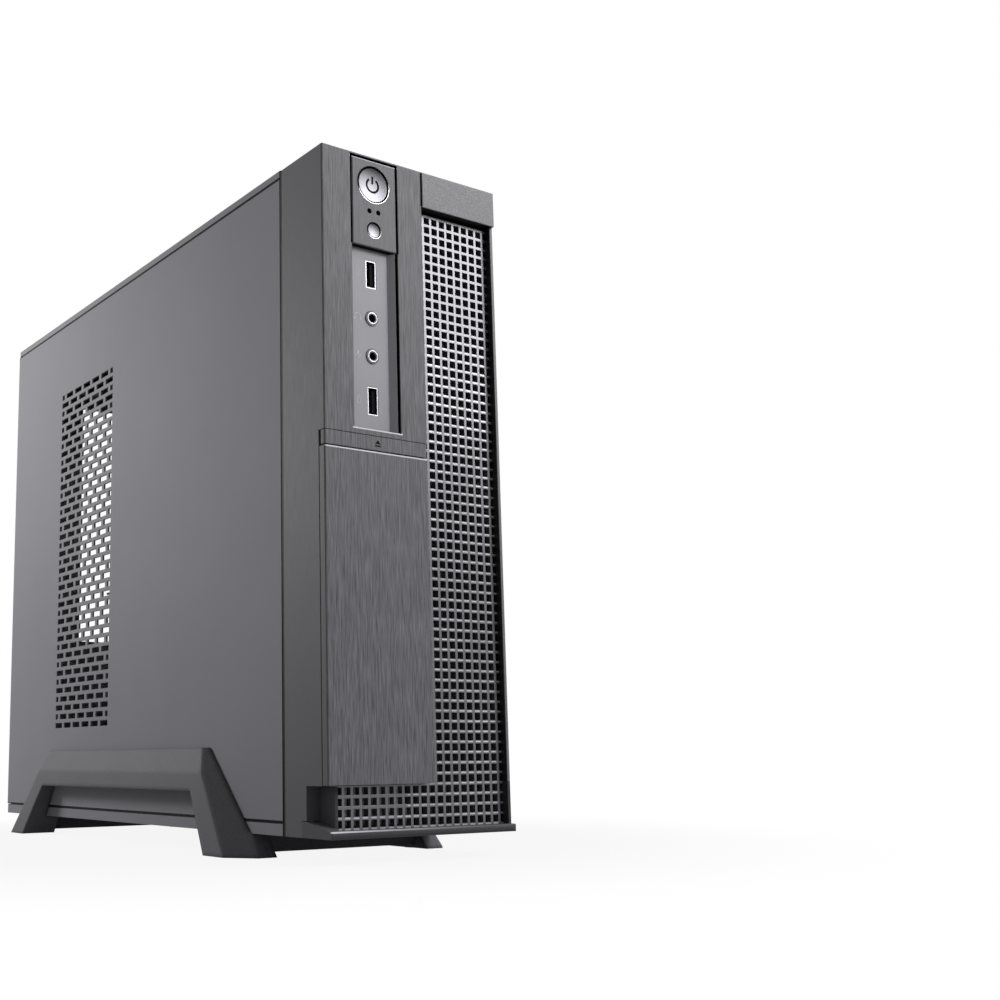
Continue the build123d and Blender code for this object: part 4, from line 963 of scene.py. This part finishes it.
def bead(name, up, inner, outer, proud, back=0.0, finish=bead_metal):
    """A half-round ring on the controls' line, in millimetres, on a plane so far back."""
    shape = bmesh.new()
    middle = (inner + outer) / 2
    half = (outer - inner) / 2
    angles = [math.radians(angle) for angle in range(0, 181, section_step)]
    section = [(middle + half * math.cos(angle), back - proud * math.sin(angle)) for angle in angles]
    section += [(inner, back + ring_foot), (outer, back + ring_foot)]
    rows = []
    for step in range(ring_steps):
        turn = 2 * math.pi * step / ring_steps
        places = [at(control_line + radius * math.cos(turn), depth, up + radius * math.sin(turn))
                  for radius, depth in section]
        rows.append([shape.verts.new(place) for place in places])
    for step in range(ring_steps):
        here, there = rows[step], rows[(step + 1) % ring_steps]
        for side in range(len(section)):
            after = (side + 1) % len(section)
            shape.faces.new([here[side], here[after], there[after], there[side]])
    mesh = mesh_of(shape, name)
    for polygon in mesh.polygons:
        polygon.use_smooth = True
    return add_piece(name, mesh, finish, "tower")


print("a ring has", ring_steps, "steps")

# %% Lip finish
lip_aside = 0.3
lip_per_metre = 300


def lip_finish(name, up):
    """Polished lip round a button's hole, bright along its lower right and black along its top."""
    made = drawn_metal(name, low=150, high=185, gloss=0.18, stretch=no_lines)
    middle = at(control_line, 0, up)
    downwards = middle.z - made.place.axis("Z")
    rightwards = made.place.axis("X") - middle.x
    lit_share = ((downwards + rightwards * lip_aside) * lip_per_metre).held()
    made.wire("Base Color", lit_share.colour(grey(12), grey(240)))
    print(name, "is centred", up, "mm up")
    return made


reset_up = 266.4
power_lip = lip_finish("Power lip", power_up)
reset_lip = lip_finish("Reset lip", reset_up)

# %% Shade rings, lips and beads
upper_jack = 226.0
lower_jack = 208.5
jack_ring_face = 2.6
# The near-black rings are painted shade for the gap round each button.
bead("power_seal", power_up, inner=7.95, outer=8.55, proud=0.05, finish=lamp)
bead("power_bead", power_up, inner=8.55, outer=8.95, proud=0.2, finish=power_lip)
bead("reset_seal", reset_up, inner=3.24, outer=3.64, proud=0.05, finish=lamp)
bead("reset_bead", reset_up, inner=3.64, outer=3.95, proud=0.15, finish=reset_lip)
for name, jack_up in (("upper_jack_bead", upper_jack), ("lower_jack_bead", lower_jack)):
    bead(name, jack_up, inner=2.1, outer=2.85, proud=0.3, back=jack_ring_face)

# %% [markdown]
# ## Eject and socket signs
# The eject sign sits in the middle of its bar, under the sockets. Beside the sockets are generic
# pictures: a pair of headphones by the upper jack, a microphone by the lower one and a plain plug outline
# by each data socket.

# %% Eject sign
pale_sign = Finish("Pale sign ink", specular_ior_level=0.3)
pale_ink = pale_sign.place.noise(3000, 3.0)
pale_sign.wire("Base Color", pale_ink.colour(grey(176), grey(196)))
pale_sign.wire("Roughness", pale_ink * 0.2 + 0.45)
eject_low, eject_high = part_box("eject_bar")
eject_up = ((eject_low.z + eject_high.z) / 2 - underside) * 1000
eject_shape = bmesh.new()
eject_plane = flat_surface(control_line, 0.0, eject_up)
add_filled(eject_shape, [(-1.5, -0.2), (1.5, -0.2), (0.0, 1.6)], eject_plane)
add_filled(eject_shape, [(-1.5, -1.4), (1.5, -1.4), (1.5, -0.75), (-1.5, -0.75)], eject_plane)
add_piece("eject_sign", mesh_of(eject_shape, "eject_sign"), dark_sign, "eject")

# %% Socket signs
sign_line = -29.6
plate_back = 3.0
thin_stroke = 0.35
thick_stroke = 0.4
data_sockets = (246.5, 188.0)
socket_shape = bmesh.new()
phones = flat_surface(sign_line, plate_back, upper_jack)
add_stroke(socket_shape, arc(1.5, -10, 190, 16), thick_stroke, phones)
add_filled(socket_shape, [(-1.9, -1.6), (-1.1, -1.6), (-1.1, -0.1), (-1.9, -0.1)], phones)
add_filled(socket_shape, [(1.1, -1.6), (1.9, -1.6), (1.9, -0.1), (1.1, -0.1)], phones)
voice = flat_surface(sign_line, plate_back, lower_jack)
add_filled(socket_shape, arc(0.6, 0, 180, 8, (0, 1.2)) + arc(0.6, 180, 360, 8, (0, 0.1)), voice)
add_stroke(socket_shape, arc(1.25, 180, 360, 14, (0, 0.1)), thin_stroke, voice)
add_stroke(socket_shape, [(0, -1.3), (0, -1.9)], thin_stroke, voice)
add_stroke(socket_shape, [(-0.8, -2.0), (0.8, -2.0)], thin_stroke, voice)
plug_body = [(-0.9, -1.7), (0.9, -1.7), (0.9, 0.5), (-0.9, 0.5)]
plug_nose = [(-0.6, 0.7), (-0.6, 1.7), (0.6, 1.7), (0.6, 0.7)]
for socket_up in data_sockets:
    plug = flat_surface(sign_line, plate_back, socket_up)
    add_stroke(socket_shape, plug_body, thin_stroke, plug, closed=True)
    add_stroke(socket_shape, plug_nose, thin_stroke, plug)
add_piece("socket_signs", mesh_of(socket_shape, "socket_signs"), pale_sign, "tower")

# %% [markdown]
# ## Parts on the circuit board
# With the side cover off, a bare green board would look unfinished. A board carries the same few shapes
# again and again: round capacitors, square coils and chips, rows of pins. One Geometry Nodes tree puts a
# block or a can on every point it is given, lying on the board with its foot in the face. The points are
# the only thing to write for each kind. Copying objects would do it too, but then each can would be a
# piece of its own to carry about.

# %% Tree that stands a shape on points
can_sides = 20


def parts_tree(kind, name):
    """Geometry Nodes tree that stands blocks or cans on points, pointing away from the board."""
    sockets = {"Geometry": "Geometry", "Width": "Float", "Length": "Float", "Height": "Float",
               "Finish": "Material"}
    tree, given = start_tree(name, sockets)
    start = given["Geometry"]
    if kind == "can":
        shape = start.node("GeometryNodeMeshCylinder", {}, {
            "Vertices": can_sides, "Radius": given["Width"] * 0.5, "Depth": given["Height"]})
        turned = start.node("GeometryNodeTransform", {}, {
            "Geometry": shape, "Rotation": (0, math.pi / 2, 0)})
    else:
        size = start.node("ShaderNodeCombineXYZ", {}, {
            "X": given["Height"], "Y": given["Length"], "Z": given["Width"]})
        turned = start.node("GeometryNodeMeshCube", {}, {"Size": size})
    shift = start.node("ShaderNodeCombineXYZ", {}, {"X": given["Height"] * -0.5})
    standing = start.node("GeometryNodeTransform", {}, {"Geometry": turned, "Translation": shift})
    placed = start.node("GeometryNodeInstanceOnPoints", {}, {"Points": start, "Instance": standing})
    end_tree(tree, placed, given["Finish"])
    return tree


can_tree = parts_tree("can", "Cans on points")
block_tree = parts_tree("block", "Blocks on points")

# %% Helper that stands parts on a face
board_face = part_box("motherboard")[0].x
foot = 0.00005


def stand_parts(name, tree, places, finish, width, length, height, face=board_face):
    """Parts on a face at places (back, up), all in millimetres. Length runs back and width runs up."""
    spots = bpy.data.meshes.new("spots")
    points = [(face + foot, at(0, back, up).y, at(0, back, up).z) for back, up in places]
    spots.from_pydata(points, [], [])
    mesh = run_tree(tree, spots, width=width / 1000, length=length / 1000, height=height / 1000 + foot,
                    finish=finish.material)
    return add_piece(name, mesh, finish, "tower")


print("parts stand on the board at", round(board_face, 5))

# %% Capacitors, coils and a coin cell
can_width = 8.0
can_height = 11.5
can_lid = 0.4
sleeve = Finish("Capacitor sleeve", specular_ior_level=0.5)
can_top = sleeve.place.axis("X").below(board_face - (can_height - can_lid) / 1000)
print_noise = sleeve.place.noise(900, 2.0)
sleeve.wire("Base Color", can_top.colour(print_noise.colour(grey(22), grey(40)), grey(190)))
sleeve.wire("Metallic", can_top * 0.9)
sleeve.wire("Roughness", print_noise * 0.1 + 0.32)
top_row = [(252.0 + step * 11.0, 262.0) for step in range(7)]
rear_row = [(336.4, 168.0 + step * 12.0) for step in range(6)]
front_row = [(206.0, 158.5), (216.0, 158.5), (238.0, 158.5)]
stand_parts("capacitors", can_tree, top_row + rear_row + front_row, sleeve,
            width=can_width, length=can_width, height=can_height)
coils = [(254.0 + step * 12.0, 252.4) for step in range(5)]
stand_parts("coils", block_tree, coils, nylon, width=9.0, length=9.0, height=6.5)
coin_place = [(232.0, 262.0)]
stand_parts("coin_cell", can_tree, coin_place, nickel, width=20.0, length=20.0, height=3.4)

# %% Chips, sockets and pins
chip_places = [(226.0, 236.0), (206.0, 240.0), (238.0, 218.0), (206.0, 262.0), (334.0, 258.0),
               (228.0, 128.5)]
stand_parts("chips", block_tree, chip_places, nylon, width=9.0, length=9.0, height=1.4)
fin_places = [(209.0 + step * 3.6, 186.0) for step in range(9)]
stand_parts("bridge_fins", block_tree, fin_places, fins, width=32.0, length=1.4, height=9.0)
base_place = [(223.4, 186.0)]
stand_parts("bridge_base", block_tree, base_place, fins, width=32.0, length=30.2, height=2.4)
socket_place = [(194.0, 232.0)]
stand_parts("power_socket", block_tree, socket_place, nylon,
            width=52.0, length=9.6, height=11.0)
drive_sockets = [(198.0, 166.0 + step * 9.0) for step in range(4)]
stand_parts("drive_sockets", block_tree, drive_sockets, nylon,
            width=5.6, length=14.0, height=8.4)
pin_pitch = 2.54
pin_width = 0.64
pins = [(200.0 + column * pin_pitch, 124.0 + row * pin_pitch) for column in range(9) for row in range(2)]
stand_parts("pins", block_tree, pins, brass, width=pin_width, length=pin_width, height=8.0)

# %% [markdown]
# ## Inside the rear sockets
# Each socket shell at the rear is a bare metal box. A black lining at its back and a tongue along its
# middle make it read as a socket. The shells are measured from the solids' own sizes, from the foot of
# the board upwards.

# %% Linings and tongues of the rear sockets
port_low, port_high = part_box("rear_ports")
port_sizes = [(14.5, 7.0), (14.5, 7.0), (16.0, 13.0), (15.5, 6.0), (17.0, 6.0), (14.5, 7.0), (14.5, 7.0)]
port_wall = 0.8
port_gap = 2.0
port_floor = 3.0
lining_thickness = 0.0006
tongue_half = 0.0009
tongue_inset = 0.0012
linings = bmesh.new()


def add_block(shape, low, high):
    """An upright block between two corners in metres."""
    size = Matrix.Diagonal((*(high - low), 1))
    bmesh.ops.create_cube(shape, size=1.0, matrix=Matrix.Translation((low + high) / 2) @ size)


foot_up = port_low.z
floor_back = port_low.y + port_floor / 1000
for width, height in port_sizes:
    left = port_high.x - (height - port_wall) / 1000
    right = port_high.x - port_wall / 1000
    low_up = foot_up + port_wall / 1000
    high_up = foot_up + (width - port_wall) / 1000
    add_block(linings, Vector((left, floor_back - foot, low_up)),
              Vector((right, floor_back + lining_thickness, high_up)))
    middle = (left + right) / 2
    add_block(linings, Vector((middle - tongue_half, floor_back, low_up + tongue_inset)),
              Vector((middle + tongue_half, port_high.y - tongue_inset, high_up - tongue_inset)))
    foot_up += (width + port_gap) / 1000
add_piece("socket_linings", mesh_of(linings, "socket_linings"), nylon, "tower")

# %% [markdown]
# ## Screws and the disc drive's button
# Four low screws hold the lid of the power supply. Behind the front door the disc drive shows its tray,
# and beside the tray the button that opens it and a lamp. They are plain blocks with their edges off, set
# into the drive's face.

# %% Screws of the power supply
screw_width = 5.2
screw_head = 0.9
lid_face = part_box("psu_case")[0].x
lid_screws = [(back, up) for back in (41.5, 203.5) for up in (219.5, 289.5)]
stand_parts("lid_screws", can_tree, lid_screws, black_steel, width=screw_width,
            length=screw_width, height=screw_head, face=lid_face)

# %% Button and lamp of the disc drive
control_proud = 0.0008
control_thickness = 0.0012
control_round = 0.0002


def drive_control(name, finish, across, up, width, height):
    """A block with softened edges on the disc drive's face, in millimetres from its left lower corner."""
    shape = bmesh.new()
    low = Vector((drive_low.x + across / 1000, drive_low.y - control_proud, drive_low.z + up / 1000))
    high = low + Vector((width / 1000, control_thickness, height / 1000))
    add_block(shape, low, high)
    bmesh.ops.bevel(shape, geom=shape.edges[:], offset=control_round, segments=2, profile=0.5,
                    affect="EDGES")
    return add_piece(name, mesh_of(shape, name), finish, "tower")


drive_control("disc_button", nylon, across=27.0, up=14.0, width=4.0, height=12.0)
drive_control("disc_lamp", lamp, across=28.2, up=32.0, width=1.6, height=3.2)

# %% [markdown]
# ## Floor, lamps and background
# The tower stands on a seamless white table. The floor glows plain white for the camera and for
# reflections, mixed with a little plain diffuse grey so that the shadow under the stand shows. That share
# fades out with the distance from the tower, so that the table runs into the background without a line.
# The lamps are large and soft: one from the left and rear that rakes along the side cover, one in front
# that lights the face and glints in the mesh, and one high on the right that lights what faces up.

# %% What the eye follows
def seen_rays(tree):
    """1 for the rays that the eye follows, straight, mirrored or through clear material, else 0."""
    rays = tree.nodes.new("ShaderNodeLightPath").outputs
    straight = Wire(tree, rays["Is Camera Ray"])
    return (straight + Wire(tree, rays["Is Glossy Ray"]) + Wire(tree, rays["Is Transmission Ray"])).held()


plain_white = (1, 1, 1, 1)
print("table and background are", plain_white, "to the eye")

# %% Floor
fade_near = 0.16
fade_far = 0.36
glow_near = 0.90
floor_mesh = bpy.data.meshes.new("floor")
reach = 4.0
corners = [(-reach, -reach, 0), (reach, -reach, 0), (reach, reach, 0), (-reach, reach, 0)]
floor_mesh.from_pydata(corners, [], [(0, 1, 2, 3)])
floor_material = bpy.data.materials.new("White table")
floor_material.use_nodes = True
floor_tree = floor_material.node_tree
floor_shader = floor_tree.nodes["Principled BSDF"]
floor_shader.inputs["Base Color"].default_value = (0.32, 0.32, 0.32, 1)
floor_shader.inputs["Roughness"].default_value = 0.9
floor_shader.inputs["Specular IOR Level"].default_value = 0.1
floor_seen = seen_rays(floor_tree)
floor_glow = floor_seen.node("ShaderNodeEmission", {}, {"Color": plain_white, "Strength": 1.0})
floor_place = Wire(floor_tree, floor_tree.nodes.new("ShaderNodeTexCoord").outputs["Object"])
floor_away = floor_place.node("ShaderNodeVectorMath", {"operation": "LENGTH"}, {0: floor_place}, output=1)
floor_share = floor_away.node("ShaderNodeMapRange", {"interpolation_type": "SMOOTHSTEP"}, {
    "Value": floor_away, "From Min": fade_near, "From Max": fade_far, "To Min": glow_near, "To Max": 1.0})
floor_mix = floor_seen.node("ShaderNodeMixShader", {}, {
    0: floor_seen * floor_share, 1: Wire(floor_tree, floor_shader.outputs[0]), 2: floor_glow})
floor_tree.links.new(floor_mix.socket, floor_tree.nodes["Material Output"].inputs["Surface"])
floor_mesh.materials.append(floor_material)
floor = bpy.data.objects.new("floor", floor_mesh)
bpy.context.scene.collection.objects.link(floor)
print("floor", reach * 2, "m wide")

# %% Lamps
def soft_lamp(name, place, target, size, power):
    """A square area lamp aimed at a place, in metres and watts."""
    lamp_data = bpy.data.lights.new(name, "AREA")
    lamp_data.size = size
    lamp_data.energy = power
    made = bpy.data.objects.new(name, lamp_data)
    made.location = place
    made.rotation_euler = (Vector(target) - Vector(place)).to_track_quat("-Z", "Y").to_euler()
    bpy.context.scene.collection.objects.link(made)
    print(name, power, "W at", place)


soft_lamp("Side lamp", (-0.48, 0.78, 0.46), target=(-0.05, 0.05, 0.18), size=0.25, power=6.4)
soft_lamp("Front lamp", (0.62, -0.90, 0.72), target=(0.03, -0.18, 0.26), size=0.5, power=7.5)
soft_lamp("Top lamp", (0.75, -0.60, 1.20), target=(0.03, -0.17, 0.12), size=0.4, power=6.0)

# %% Background
world = bpy.data.worlds.new("White studio")
bpy.context.scene.world = world
world.use_nodes = True
world_tree = world.node_tree
world_seen = seen_rays(world_tree)
plain_light = world_tree.nodes["Background"]
plain_light.inputs["Color"].default_value = (0.24, 0.24, 0.25, 1)
white_back = world_seen.node("ShaderNodeBackground", {}, {"Color": plain_white, "Strength": 1.0})
world_mix = world_seen.node("ShaderNodeMixShader", {}, {
    0: world_seen, 1: Wire(world_tree, plain_light.outputs[0]), 2: white_back})
world_tree.links.new(world_mix.socket, world_tree.nodes["World Output"].inputs["Surface"])
print("background is white to the camera")
